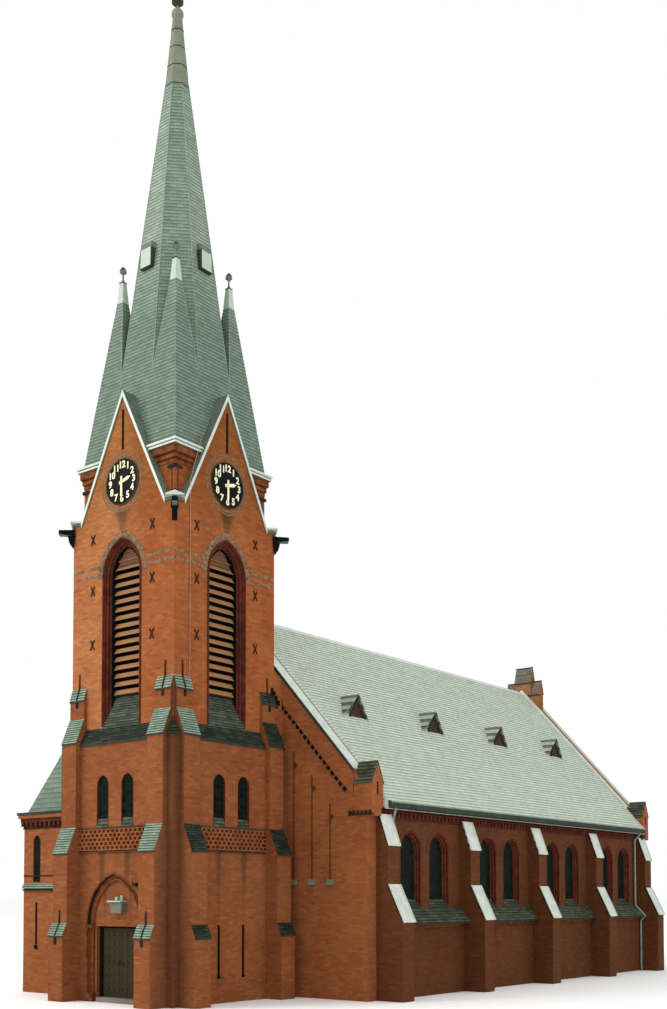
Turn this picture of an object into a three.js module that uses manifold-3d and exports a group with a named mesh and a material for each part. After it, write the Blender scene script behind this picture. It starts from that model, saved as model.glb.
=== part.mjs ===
// A brick church: square west tower with four steep gables, an octagonal slate spire with four
// corner pinnacles, a nave of four buttressed bays under a steep slate roof, and a stair annex.
// Millimetres, +Z up. The entrance faces -Y and the nave runs towards +Y. The part is drawn round
// the tower's centre line, and its group then moves it so that the origin is at the middle of its base.
import * as THREE from "three";
import { mergeVertices } from "three/addons/utils/BufferGeometryUtils.js";
import Module from "manifold-3d";

const wasm = await Module();
wasm.setup();

// Driving dimensions
const seat = 0.3; // gap left between pieces that touch
const floorTop = 150;
const glassThick = 30;

// Tower, measured from its axis
const base = { half: 2640, wall: 600, shoulder: 8410, top: 8900, back: 2870 };
const corner = { inner: 1680, outer: 2376, reach: 3346 };
const groundSlit = { offset: 583, half: 60, foot: 850, top: 2480, depth: 200 };
const belfry = { half: 2400, wall: 560, cornerTop: 15850, capTop: 15960 };
const gable = { apex: 19944, slope: 2, coping: 240, overhang: 40, back: 1930, blockFoot: 15000 };
const gableSlit = { half: 40, foot: 17600, top: 19000, depth: 120 };
const spout = { half: 85, start: 3400, end: 3880, foot: 15560, top: 15690, rootTop: 15900 };
const eave = 17784;
const eavesPlate = { half: 2292, foot: 17674, top: 17804, opening: 1840 };
const cornerBrick = { from: 1100, face: 2160, step: 50, wall: 460, lowStep: [17323, 17373], highStep: 17523 };

// Spire
const spire = { pitch: 0.1317, apex: 34320, ring: 31300, shell: 160, hollowTop: 30100 };
const pinnacle = { apex: 24600, offset: 1280 };
const finial = { collarFoot: 24264, collar: 24384, rod: 28, diamondFoot: 24690, diamond: 115, top: 24910 };
const hatch = { half: 240, height: 620, z: 24700, out: 150 };
const spireCap = {
  ring: 420, ringHeight: 90, skirt: 385, neck: 90, neckTop: 33960, ball: 215, ballZ: 34060, top: 34480,
};

// Entrance
const doorway = { half: 900, top: 2400, leaf: 70, front: -2300, hingeX: 885, meeting: 8, play: 8 };
const hingePin = { radius: 14, height: 60 };
const portal = {
  spring: 2520, outerHalf: 1320, outerRise: 1640, outerDepth: 150,
  innerHalf: 980, innerRise: 1280, innerDepth: 330,
};
const passage = { half: 800, spring: 2100, rise: 900 };

// Openings of the tower
const lancet = { offset: 583, half: 278, sill: 5640, spring: 7000, rise: 320 };
const sound = {
  outerHalf: 883, innerHalf: 720, recess: 400, through: 600, spring: 13850, rise: 1200, innerRise: 1000,
  sill: 8930, louvreFoot: 9960,
};
const louvre = { front: -2120, pitch: 274, count: 18, first: 10000, lean: 95, rise: 170, thick: 24, rim: 40 };
const dial = { radius: 740, z: 16896, thick: 30, arbor: 12 };
const clockHand = { thick: 10, hub: 62, play: 0.8 };

// Nave
const nave = {
  half: 5980, wall: 500, plinth: 190, plinthTop: 2450, ledgeFoot: 2490, ledgeEdge: 2520, ledgeTop: 3010,
  ledgeReach: 456, west: 2870, east: 25070, gableWall: 600, ridge: 13560, pitch: 1.112, roofDepth: 300,
  gutter: 6278, cornice: 6024, corniceReach: 100, bays: 4,
};
const naveCoping = { lift: 134, foot: 5480, face: 40, lap: 120 };
const kneelerBlock = { inner: 5470, outer: 6200, foot: 6030, eaves: 7128, ridge: 7834 };
const turret = {
  half: 440, eaves: 14140, ridge: 14850, shoulder: 920, shoulderEaves: 13500, shoulderRidge: 14120,
  foot: 12700, inset: 30, thick: 400,
};
const vent = { first: 5940, pitch: 5140, half: 400, front: 3350, back: 2500, rise: 760, drop: 60 };
const buttress = {
  first: 3362, pitch: 5190, width: 650, upper: 470, lower: 1050, lowCap: [2594, 3787], topCap: [5095, 6288],
};
const windowBay = { offset: 893, half: 655, inner: 500, recess: 160, spring: 4940, rise: 690, sill: 3010 };
const eastLights = [
  { x: 0, half: 480, sill: 3500, spring: 6900, rise: 640 },
  { x: -1900, half: 400, sill: 3500, spring: 5800, rise: 540 },
  { x: 1900, half: 400, sill: 3500, spring: 5800, rise: 540 },
];
const annex = {
  left: 6070, front: -1490, wall: 400, wallTop: 6380, inset: 90, pitch: 2.55, shell: 420,
  cornice: [6050, 6180], corniceReach: 90, eavesReach: 160,
};
const annexLancet = {
  x: -5352, half: 200, sill: 3912, spring: 5340, rise: 240, depth: 200, sideY: [-300, 1500],
};
const annexSlit = { half: 60, foot: 1694, top: 3185 };

const brick = new THREE.MeshStandardMaterial({ color: 0xa5492a, roughness: 0.9, metalness: 0 });
const slate = new THREE.MeshStandardMaterial({ color: 0x7d8a80, roughness: 0.6, metalness: 0 });
const paleSlate = new THREE.MeshStandardMaterial({ color: 0xa3aca1, roughness: 0.6, metalness: 0 });
const zinc = new THREE.MeshStandardMaterial({ color: 0xc6cfca, roughness: 0.4, metalness: 0.7 });
const oak = new THREE.MeshStandardMaterial({ color: 0x4a3b24, roughness: 0.7, metalness: 0 });
const louvreWood = new THREE.MeshStandardMaterial({ color: 0xb8906a, roughness: 0.8, metalness: 0 });
const gilt = new THREE.MeshStandardMaterial({ color: 0xe9dfae, roughness: 0.4, metalness: 0.2 });
const glass = new THREE.MeshStandardMaterial({ color: 0x23332e, roughness: 0.1, metalness: 0 });
const stone = new THREE.MeshStandardMaterial({ color: 0x8c857a, roughness: 0.8, metalness: 0 });

// Solids from three.js geometry
function solid(geometry) {
  const bare = geometry.clone();
  bare.deleteAttribute("normal");
  bare.deleteAttribute("uv");
  const merged = mergeVertices(bare, 1e-3);
  return new wasm.Manifold(
    new wasm.Mesh({
      numProp: 3,
      vertProperties: merged.attributes.position.array,
      triVerts: new Uint32Array(merged.index.array),
    }),
  );
}

function geometryOf(made) {
  const mesh = made.getMesh();
  const geometry = new THREE.BufferGeometry();
  geometry.setAttribute("position", new THREE.BufferAttribute(mesh.vertProperties, 3));
  geometry.setIndex(new THREE.BufferAttribute(mesh.triVerts, 1));
  geometry.computeVertexNormals();
  return geometry;
}

function box(x0, x1, y0, y1, z0, z1) {
  const shape = new THREE.BoxGeometry(x1 - x0, y1 - y0, z1 - z0);
  return solid(shape.translate((x0 + x1) / 2, (y0 + y1) / 2, (z0 + z1) / 2));
}

const outline = (points) => new THREE.Shape(points.map(([a, b]) => new THREE.Vector2(a, b)));

const extruded = (points, depth) =>
  new THREE.ExtrudeGeometry(outline(points), { depth, bevelEnabled: false, curveSegments: 1 });

// A profile of [x, z] points run along Y
const alongY = (points, y0, y1) => solid(extruded(points, y1 - y0).rotateX(Math.PI / 2).translate(0, y1, 0));

// A profile of [y, z] points run along X
function alongX(points, x0, x1) {
  const turn = new THREE.Matrix4().makeBasis(
    new THREE.Vector3(0, 1, 0),
    new THREE.Vector3(0, 0, 1),
    new THREE.Vector3(1, 0, 0),
  );
  return solid(extruded(points, x1 - x0).applyMatrix4(turn).translate(x0, 0, 0));
}

// A profile of [x, y] points run up Z
const alongZ = (points, z0, z1) => solid(extruded(points, z1 - z0).translate(0, 0, z0));

// A regular frustum whose flats face the axes; low and high are the distances from its axis to a flat
function frustum(sides, low, high, z0, z1, x = 0, y = 0) {
  const reach = 1 / Math.cos(Math.PI / sides);
  const body = new THREE.CylinderGeometry(high * reach, low * reach, z1 - z0, sides, 1);
  return solid(
    body
      .rotateX(Math.PI / 2)
      .rotateZ(Math.PI / sides)
      .translate(x, y, (z0 + z1) / 2),
  );
}

// A round bar along Y
const bar = (radius, y0, y1, x, z, sides = 16) =>
  solid(new THREE.CylinderGeometry(radius, radius, y1 - y0, sides).translate(x, (y0 + y1) / 2, z));

const union = (...parts) => parts.reduce((sum, part) => sum.add(part));

// The same piece on each side of the tower
const quarters = [0, 90, 180, 270];
const onEachSide = (made) => union(...quarters.map((turn) => made.rotate([0, 0, turn])));

// The outline of an opening with a pointed head: two arcs that meet over its middle
function pointed(middle, half, foot, spring, rise, steps = 5) {
  const centre = (rise * rise - half * half) / (2 * half);
  const radius = half + centre;
  const full = Math.atan2(rise, centre);
  const right = [];
  for (let i = 0; i <= steps; i++) {
    const angle = (full * i) / steps;
    right.push([radius * Math.cos(angle) - centre, spring + radius * Math.sin(angle)]);
  }
  right[steps] = [0, spring + rise];
  const left = right.slice(0, steps).reverse().map(([x, z]) => [-x, z]);
  return [[-half, foot], [half, foot], ...right, ...left].map(([x, z]) => [middle + x, z]);
}

// One quarter of the tower, between the two diagonals on its entrance side
const quarter = alongZ([[0, -seat / 2], [-9000, -9000 - seat / 2], [9000, -9000 - seat / 2]], -10, 40000);

// Spire: an octagon whose four main faces run down to the eaves, and four square corner pinnacles
const spireReach = (z) => spire.pitch * (spire.apex - z);
const pinnacleReach = (z) => spire.pitch * (pinnacle.apex - z);

function spireBody(grow, foot, top) {
  const corners = [[1, 1], [1, -1], [-1, 1], [-1, -1]];
  const tip = pinnacle.apex + grow / spire.pitch;
  const pinnacles = corners.map(([sx, sy]) =>
    frustum(4, pinnacleReach(foot) + grow, 0, foot, tip, sx * pinnacle.offset, sy * pinnacle.offset),
  );
  return union(frustum(8, spireReach(foot) + grow, spireReach(top) + grow, foot, top), ...pinnacles);
}

// The square plate under the eaves, grown to cut the pieces it rests on
const eavesCut = () => {
  const half = eavesPlate.half + seat;
  return frustum(4, half, half, eavesPlate.foot - seat, eavesPlate.top + 5);
};

// Metal finial over the middle of the entrance side, at the distance of a pinnacle
function pinnacleFinial() {
  const y = -pinnacle.offset * Math.SQRT2;
  const { collarFoot, collar, rod, diamondFoot, diamond, top } = finial;
  const middle = (diamondFoot + top) / 2;
  return union(
    frustum(8, 95, 60, collarFoot, collar, 0, y),
    frustum(8, rod, rod, collar - 10, middle, 0, y),
    frustum(4, rod, diamond, diamondFoot, middle, 0, y),
    frustum(4, diamond, rod, middle, top, 0, y),
  );
}

// Hatch with a sloping lid on one face of the spire
function spireHatch() {
  const face = -spireReach(hatch.z) - hatch.out;
  const inner = -200;
  const section = [
    [inner, hatch.z - 20],
    [face + 60, hatch.z - 20],
    [face, hatch.z],
    [face + 20, hatch.z + hatch.height],
    [inner, hatch.z + hatch.height + 120],
  ];
  return alongX(section, -hatch.half, hatch.half);
}

function spireRoof() {
  const { half, foot, top, opening } = eavesPlate;
  const plate = frustum(4, half, half, foot, top);
  const hole = box(-opening, opening, -opening, opening, foot - 10, top + 10);
  const trim = onEachSide(pinnacleFinial().rotate([0, 0, 45]).add(spireHatch()));
  const shell = spireBody(0, eave, spire.ring).add(plate).add(trim);
  const hollow = spireBody(-spire.shell, eave - 1, spire.hollowTop);
  return shell.subtract(hollow).subtract(hole).subtract(gableBlocks(seat));
}

// The four gables with their copings, as solid blocks that the roof and the corner blocks stop at
function gableBlocks(grow) {
  const peak = gable.apex + grow * 3;
  const foot = gable.blockFoot;
  const spread = (peak - foot) / gable.slope;
  const front = -belfry.half - 200;
  return onEachSide(alongY([[-spread, foot], [spread, foot], [0, peak]], front, grow - eavesPlate.opening));
}

// Spire point: lead-clad octagon, neck and ball
function spirePoint() {
  const foot = spire.ring + seat;
  const skirtFoot = foot + spireCap.ringHeight;
  const skirtTop = 33700;
  const ball = new THREE.SphereGeometry(spireCap.ball, 12, 8).rotateX(Math.PI / 2);
  ball.translate(0, 0, spireCap.ballZ);
  return union(
    frustum(8, spireCap.ring, spireCap.ring - 16, foot, skirtFoot),
    frustum(8, spireCap.skirt, spireCap.neck + 30, skirtFoot, skirtTop),
    frustum(8, spireCap.neck, spireCap.neck, skirtTop - 100, spireCap.neckTop),
    solid(ball),
    frustum(8, 60, 8, spireCap.ballZ + 140, spireCap.top),
  );
}

// Belfry stage: one wall, drawn on the entrance side
function belfryWall(open) {
  const wallApex = gable.apex - gable.coping;
  const spread = (wallApex - belfry.cornerTop) / gable.slope;
  const face = [
    [-belfry.half, base.top + seat],
    [belfry.half, base.top + seat],
    [belfry.half, belfry.cornerTop - seat],
    [spread, belfry.cornerTop - seat],
    [0, wallApex - seat],
    [-spread, belfry.cornerTop - seat],
    [-belfry.half, belfry.cornerTop - seat],
  ];
  const outer = -belfry.half;
  const slitOutline = [
    [-gableSlit.half, gableSlit.foot],
    [gableSlit.half, gableSlit.foot],
    [gableSlit.half, gableSlit.top],
    [-gableSlit.half, gableSlit.top],
  ];
  let wall = alongY(face, outer, outer + belfry.wall).intersect(quarter);
  wall = wall.subtract(spireBody(seat, eave - 200, spire.ring)).subtract(eavesCut());
  wall = wall.subtract(alongY(slitOutline, outer - 10, outer + gableSlit.depth));
  if (open) wall = wall.subtract(soundOpening());
  const plate = bar(dial.radius, outer - dial.thick, outer + 5, 0, dial.z, 32);
  const arbor = bar(dial.arbor, outer - dial.thick - 60, outer, 0, dial.z);
  return union(wall, plate, arbor);
}

// Stepped reveal of a belfry opening, whose foot slopes out from the louvres to the face
function soundOpening() {
  const outer = -belfry.half;
  const { outerHalf, innerHalf, recess, through, spring, rise, innerRise, sill, louvreFoot } = sound;
  const keep = [
    [outer - 20, base.top],
    [outer + through, base.top],
    [outer + through, louvreFoot],
    [outer + recess, louvreFoot],
    [outer - 20, sill],
  ];
  const step = alongY(pointed(0, outerHalf, sill, spring, rise), outer - 10, outer + recess / 2);
  const inner = alongY(pointed(0, innerHalf, sill, spring, innerRise), outer - 10, outer + through);
  return step.add(inner).subtract(alongX(keep, -base.half, base.half));
}

// Leaning boards in a pointed rim
function louvres() {
  const { front, pitch, count, first, lean, rise, thick, rim } = louvre;
  const half = sound.innerHalf - seat;
  const foot = sound.louvreFoot + seat;
  const headRise = sound.innerRise - 2 * seat;
  const hole = alongY(pointed(0, half, foot, sound.spring, headRise), front, front + lean + thick);
  const inner = pointed(0, half - rim, foot + rim, sound.spring, headRise - rim - 5);
  const frame = hole.subtract(alongY(inner, front - 10, front + lean + thick + 10));
  const section = [[front, 0], [front + thick, -8], [front + lean + thick, rise - 8], [front + lean, rise]];
  const board = alongX(section, -half, half);
  const boards = [];
  for (let i = 0; i < count; i++) boards.push(board.translate([0, 0, first + i * pitch]));
  return union(...boards).intersect(hole).add(frame);
}

// Copings of the four gables, joined at the corners by flat caps, with a spout under each cap
function gableCopings() {
  const overhang = belfry.half + gable.overhang;
  const capStart = (gable.apex - belfry.capTop) / gable.slope;
  const wallStart = (gable.apex - gable.coping - belfry.cornerTop) / gable.slope;
  const half = [
    [0, gable.apex],
    [0, gable.apex - gable.coping],
    [wallStart, belfry.cornerTop],
    [overhang, belfry.cornerTop],
    [overhang, belfry.capTop],
    [capStart, belfry.capTop],
  ];
  const left = half.slice(2).map(([x, z]) => [-x, z]);
  const band = [half[0], ...left.reverse(), half[1], ...half.slice(2)];
  const one = alongY(band, -overhang, -gable.back).subtract(spireBody(seat, eave - 200, spire.ring));
  const { half: side, start, end, foot, top, rootTop } = spout;
  const root = box(-side, side, -start - 50, 2 - start, foot, rootTop);
  const bracket = box(-side, side, -end, -start, foot, top).add(root);
  return onEachSide(one.add(bracket.rotate([0, 0, 45]))).subtract(eavesCut());
}

// Recessed brick block between two gables, stepping out under the eaves; entrance side, right-hand corner
function cornerBlock() {
  const foot = belfry.capTop + seat;
  const top = eavesPlate.foot - seat;
  const { from, face, step, wall, lowStep, highStep } = cornerBrick;
  const block = (grow, low, high) => box(from, face + grow, -face - grow, -from, low, high);
  const inner = box(0, face - wall, wall - face, 0, foot - 1, top + 1);
  const outer = union(block(0, foot, top), block(step, ...lowStep), block(2 * step, highStep, top));
  return outer.subtract(inner).subtract(gableBlocks(seat));
}

// Base stage: what a corner buttress reaches out to, as [distance from the axis, height]
const buttressFace = [
  [2400 + seat, 10306],
  [2510, 9936],
  [2510, 9264],
  [2837, 8472],
  [2837, 5640],
  [3175, 4829],
  [3175, 2530],
  [corner.reach, 2153],
  [corner.reach, 0],
];

function cornerButtress(side) {
  const points = [
    ...buttressFace.map(([y, z]) => [-y, z]),
    [-base.half + 10, 0],
    [-base.half + 10, base.shoulder],
    [-belfry.half - seat, base.top],
  ];
  const ends = [side * corner.inner, side * corner.outer].sort((a, b) => a - b);
  return alongX(points, ...ends);
}

function baseShell() {
  const outer = frustum(4, base.half, base.half, 0, base.shoulder).add(
    frustum(4, base.half, belfry.half, base.shoulder, base.top),
  );
  const inner = base.half - base.wall;
  return outer.subtract(box(-inner, inner, -inner, inner, -10, base.top + 10));
}

const wallBody = baseShell();
const baseQuarter = wallBody.intersect(quarter);

const lancetCuts = () =>
  union(
    ...[-1, 1].map((side) =>
      alongY(
        pointed(side * lancet.offset, lancet.half, lancet.sill, lancet.spring, lancet.rise),
        -base.half - 20,
        -base.half + base.wall + 20,
      ),
    ),
  );

const buttressedQuarter = () => baseQuarter.add(cornerButtress(1)).add(cornerButtress(-1));

function frontWall() {
  const face = -base.half;
  const outer = pointed(0, portal.outerHalf, -10, portal.spring, portal.outerRise, 8);
  const inner = pointed(0, portal.innerHalf, -10, portal.spring, portal.innerRise, 8);
  const deep = -corner.reach - 10;
  return buttressedQuarter()
    .subtract(alongY(outer, deep, face + portal.outerDepth))
    .subtract(alongY(inner, face - 10, face + portal.innerDepth))
    .subtract(box(-doorway.half, doorway.half, deep, base.wall - base.half + 10, -10, doorway.top))
    .subtract(lancetCuts());
}

const front = frontWall();
const beyond = 2 * base.half;
const frontLeft = front.intersect(box(-beyond, -doorway.half, -beyond, 0, -10, base.top + 3000));
const frontRight = front.intersect(box(doorway.half, beyond, -beyond, 0, -10, base.top + 3000));
const frontOver = front.intersect(
  box(seat - doorway.half, doorway.half - seat, -beyond, 0, doorway.top, base.top + 3000),
);

function sideWall(pierced) {
  const wall = buttressedQuarter();
  if (!pierced) return wall;
  const { offset, half, foot, top, depth } = groundSlit;
  const slit = (x) => box(x - half, x + half, -base.half - 20, depth - base.half, foot, top);
  return wall.subtract(union(lancetCuts(), slit(-offset), slit(offset)));
}

const inside = base.half - base.wall;
const passageOutline = pointed(0, passage.half, -10, passage.spring, passage.rise);

function backWall() {
  const behind = box(60 - base.half, base.half - 60, base.half - 25, base.back - seat, 0, base.top);
  const wall = baseQuarter.rotate([0, 0, 180]).add(behind);
  return wall.subtract(alongY(passageOutline, inside - 10, base.back + 10));
}

// Door leaf on one side, hung on a pivot at its outer edge and turning inwards
function doorLeaf(side) {
  const { hingeX, meeting, front: face, leaf: thick, play, top } = doorway;
  const { radius, height } = hingePin;
  const edges = [side * hingeX, side * meeting].sort((a, b) => a - b);
  const back = face + thick;
  const leaf = box(...edges, face, back, floorTop + play, top - play);
  const pin = new THREE.CylinderGeometry(radius, radius, height, 12).rotateX(Math.PI / 2);
  pin.translate(side * (hingeX - radius), back - radius, floorTop + seat + height / 2);
  return leaf.add(solid(pin));
}

// Clock hand, drawn over the entrance dial and turned to its hour
function hand(length, tail, width, lift, angle) {
  const y1 = -belfry.half - dial.thick - lift;
  const y0 = y1 - clockHand.thick;
  const wide = width * 0.6;
  const shoulder = length * 0.72;
  const blade = [[-width / 2, -tail], [width / 2, -tail], [wide, shoulder], [0, length], [-wide, shoulder]];
  const hub = bar(clockHand.hub, y0, y1, 0, 0, 20);
  const bore = bar(dial.arbor + clockHand.play, y0 - 5, y1 + 5, 0, 0);
  return alongY(blade, y0, y1).add(hub).subtract(bore).rotate([0, angle, 0]).translate([0, 0, dial.z]);
}

// Nave
const roofAt = (x) => nave.ridge - nave.pitch * x;

// Everything under the roof slopes between the two gables, with the seat left round it
const underRoof = () => {
  const wide = nave.half + 1000;
  const edge = roofAt(wide) + 2 * seat;
  const outlinePoints = [[-wide, 0], [wide, 0], [wide, edge], [0, nave.ridge + 2 * seat], [-wide, edge]];
  return alongY(outlinePoints, nave.west + nave.gableWall, nave.east - nave.gableWall);
};

// The outer buttresses, which the blocks at the feet of the gables clear
const buttressZone = () => {
  const wide = nave.half + buttress.lower + 70;
  const [foot, top] = [5000, 6300];
  const one = (y) => box(-wide, wide, y - seat, y + buttress.width + seat, foot, top);
  const between = box(-nave.half - seat, nave.half + seat, 0, nave.east + 1000, foot - 1, top + 1);
  return union(one(buttress.first), one(buttress.first + buttress.pitch * nave.bays)).subtract(between);
};

const gableFace = [
  [-nave.half, 0],
  [nave.half, 0],
  [nave.half, roofAt(nave.half)],
  [0, nave.ridge],
  [-nave.half, roofAt(nave.half)],
];

// A block with a saddle top that runs across the gable
function saddle(x0, x1, y0, y1, foot, eaves, ridge) {
  return alongX([[y0, foot], [y1, foot], [y1, eaves], [(y0 + y1) / 2, ridge], [y0, eaves]], x0, x1);
}

// Saddle-topped block that stops the coping at the foot of a nave gable
function kneeler(y0, y1, side) {
  const { inner, outer, foot, eaves, ridge } = kneelerBlock;
  const ends = [side * inner, side * outer].sort((a, b) => a - b);
  return saddle(...ends, y0, y1, foot, eaves, ridge);
}

function gableCoping(y0, y1) {
  const { lift, foot } = naveCoping;
  const sunk = 5;
  const band = [
    [-foot, roofAt(foot) - sunk],
    [0, nave.ridge - sunk],
    [foot, roofAt(foot) - sunk],
    [foot, roofAt(foot) + lift],
    [0, nave.ridge + lift],
    [-foot, roofAt(foot) + lift],
  ];
  return alongY(band, y0, y1);
}

function westGable() {
  const y0 = nave.west;
  const y1 = nave.west + nave.gableWall;
  const half = belfry.half;
  const behindTower = [
    [-half, base.top + seat],
    [half, base.top + seat],
    [half, roofAt(half)],
    [0, nave.ridge],
    [-half, roofAt(half)],
  ];
  const backing = alongY(behindTower, half + seat, y0 + 10);
  const clear = box(-half - 45, half + 45, 0, y0 + 1, 0, nave.ridge + 1000);
  const coping = gableCoping(y0 - naveCoping.face, y1 + naveCoping.lap).subtract(clear);
  const blocks = [-1, 1].map((side) => kneeler(y0 - naveCoping.face, y1 - seat, side));
  return union(alongY(gableFace, y0, y1), backing, coping, ...blocks)
    .subtract(alongY(passageOutline, half - 10, y1 + 10))
    .subtract(underRoof())
    .subtract(buttressZone());
}

function eastGable() {
  const y0 = nave.east - nave.gableWall;
  const y1 = nave.east;
  const coping = gableCoping(y0 - naveCoping.lap, y1 + naveCoping.face);
  const blocks = [-1, 1].map((side) => kneeler(y0 + seat, y1 + naveCoping.face, side));
  const { half, shoulder, foot, eaves, ridge, shoulderEaves, shoulderRidge, inset, thick } = turret;
  const near = y0 + inset;
  const crown = saddle(-half, half, near, near + thick, foot, eaves, ridge);
  const shoulders = saddle(-shoulder, shoulder, near + 15, near + thick - 15, foot, shoulderEaves, shoulderRidge);
  const lights = eastLights.map(({ x, half: side, sill, spring, rise }) =>
    alongY(pointed(x, side, sill, spring, rise), y0 - 10, y1 + 10),
  );
  return union(alongY(gableFace, y0, y1), coping, ...blocks, crown, shoulders)
    .subtract(underRoof())
    .subtract(buttressZone())
    .subtract(union(...lights));
}

const roofStart = nave.west + nave.gableWall + seat;
const roofEnd = nave.east - nave.gableWall - seat;

const buttressAt = (i) => buttress.first + buttress.pitch * i;

// Side wall on the +X side
function naveWall() {
  const { half, wall: thick, plinth, plinthTop, cornice, corniceReach, roofDepth, bays } = nave;
  const inner = half - thick;
  const under = (x) => roofAt(x) - roofDepth - seat;
  const eavesReach = half + corniceReach;
  const firstStep = half + corniceReach / 2;
  const section = [
    [inner, 0],
    [half + plinth, 0],
    [half + plinth, plinthTop],
    [half, plinthTop],
    [half, cornice],
    [firstStep, cornice + 60],
    [firstStep, cornice + 240],
    [eavesReach, cornice + 300],
    [eavesReach, under(eavesReach)],
    [inner, under(inner)],
  ];
  const cuts = [];
  const { offset, half: outerHalf, inner: innerHalf, recess, sill, spring, rise } = windowBay;
  for (let bay = 0; bay < bays; bay++) {
    const middle = buttressAt(bay + 0.5) + buttress.width / 2;
    for (const y of [middle - offset, middle + offset]) {
      cuts.push(alongX(pointed(y, outerHalf, sill, spring, rise), half - recess, half + 20));
      cuts.push(alongX(pointed(y, innerHalf, sill, spring, rise - 130), inner - 20, half));
    }
  }
  for (let i = 0; i <= bays; i++) {
    const y = buttressAt(i);
    cuts.push(box(half + seat, half + 400, y - seat, y + buttress.width + seat, -10, buttress.topCap[1] + 2));
  }
  return alongY(section, roofStart, roofEnd).subtract(union(...cuts));
}

// Five buttresses joined by the slate-covered ledges between them
function buttressRow() {
  const face = nave.half + 2 * seat;
  const lower = nave.half + buttress.lower;
  const upper = nave.half + buttress.upper;
  const profile = [
    [face, 0],
    [lower, 0],
    [lower, buttress.lowCap[0]],
    [upper, buttress.lowCap[1]],
    [upper, buttress.topCap[0]],
    [face, buttress.topCap[1]],
  ];
  const ledge = [
    [face, nave.ledgeFoot],
    [nave.half + nave.ledgeReach, nave.ledgeFoot],
    [nave.half + nave.ledgeReach, nave.ledgeEdge],
    [face, nave.ledgeTop - seat],
  ];
  const row = [];
  for (let i = 0; i <= nave.bays; i++) {
    const y = buttressAt(i);
    row.push(alongY(profile, y, y + buttress.width));
    if (i < nave.bays) row.push(alongY(ledge, y + buttress.width - 5, y + buttress.pitch + 5));
  }
  return union(...row);
}

// Roof slope on the +X side with its gutter and four small gabled vents
function roofSlope() {
  const edge = nave.gutter;
  const section = [
    [seat / 2, nave.ridge - nave.pitch * (seat / 2)],
    [seat / 2, nave.ridge - nave.roofDepth],
    [edge, roofAt(edge) - nave.roofDepth],
    [edge, roofAt(edge)],
  ];
  const trough = [
    [edge - 60, 6290],
    [edge + 90, 6330],
    [edge + 110, 6430],
    [edge + 110, 6520],
    [edge - 60, 6560],
  ];
  const endGap = 200;
  const pieces = [
    alongY(section, roofStart, roofEnd),
    alongY(trough, roofStart + endGap, roofEnd - endGap),
  ];
  const sill = roofAt(vent.front) - vent.drop;
  const sunk = 150;
  for (let i = 0; i < nave.bays; i++) {
    const y = vent.first + i * vent.pitch;
    const front = [[y - vent.half, sill], [y + vent.half, sill], [y, sill + vent.rise]];
    const body = alongX(front, vent.back, vent.front);
    const below = [[0, nave.ridge - sunk], [0, 0], [nave.half, 0], [nave.half, roofAt(nave.half) - sunk]];
    pieces.push(body.subtract(alongY(below, y - 500, y + 500)));
  }
  return union(...pieces);
}

// Floor of the tower, the passage and the nave
function floor() {
  const side = inside - seat;
  const hall = nave.half - nave.wall - seat;
  return union(
    box(-side, side, -side, side, 0, floorTop),
    box(-doorway.half + seat, doorway.half - seat, -base.half + 50, -side + 5, 0, floorTop),
    box(seat - passage.half, passage.half - seat, side - 5, roofStart + 5, 0, floorTop),
    box(-hall, hall, roofStart, roofEnd, 0, floorTop),
  );
}

// Stair annex on the -X side of the tower
function annexWall() {
  const { left, front: face, wall, wallTop, cornice, corniceReach, eavesReach } = annex;
  const { x, half, sill, spring, rise, depth, sideY } = annexLancet;
  const right = -base.half - seat;
  const back = nave.west - seat;
  const cuts = [
    alongY(pointed(x, half, sill, spring, rise), face - 20, face + depth),
    box(x - annexSlit.half, x + annexSlit.half, face - 20, face + depth, annexSlit.foot, annexSlit.top),
    ...sideY.map((y) => alongX(pointed(y, half, sill, spring, rise), -left - 20, depth - left)),
    box(-left + wall, right + 10, face + wall, back + 10, -10, wallTop + 10),
    box(-left - 2000, 0, nave.west - naveCoping.face - seat, nave.west + 10, 5500, 9500),
    sideBody,
  ];
  const walls = union(
    box(-left, right, face, back, 0, wallTop),
    box(-left - corniceReach, right, face - corniceReach, back, ...cornice),
    box(-left - eavesReach, right, face - eavesReach, back, cornice[1], wallTop),
  );
  return walls.subtract(union(...cuts));
}

// A roof with four equal slopes over a rectangle
function hipped(x0, x1, y0, y1, z, pitch) {
  const ridge = (low, high) => [[low, z], [high, z], [(low + high) / 2, z + (pitch * (high - low)) / 2]];
  return alongY(ridge(x0, x1), y0, y1).intersect(alongX(ridge(y0, y1), x0, x1));
}

function annexRoof() {
  const { left, front: face, wallTop, inset, pitch, shell } = annex;
  const [x0, x1] = [inset - left, -base.half - seat];
  const [y0, y1] = [face + inset, nave.west - naveCoping.face - seat];
  const z = wallTop + seat;
  const outer = hipped(x0, x1, y0, y1, z, pitch);
  const inner = hipped(x0 + shell, x1 - shell / 2, y0 + shell, y1 - shell / 2, z - 5, pitch);
  return outer.subtract(inner).subtract(sideBody);
}

// The tower's left side, grown by the seat, cuts the annex where the two meet
const leftSide = sideWall(false).rotate([0, 0, 270]);
const sideBody = union(
  leftSide,
  leftSide.translate([-seat, 0, 0]),
  leftSide.translate([0, -seat, 0]),
  leftSide.translate([0, seat, 0]),
  leftSide.translate([0, 0, seat]),
);

// Scene graph
const church = new THREE.Group();
church.position.y = -(nave.east + naveCoping.face - corner.reach) / 2;

function addMesh(parent, name, made, material) {
  const mesh = new THREE.Mesh(geometryOf(made), material);
  mesh.name = name;
  parent.add(mesh);
}

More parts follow.
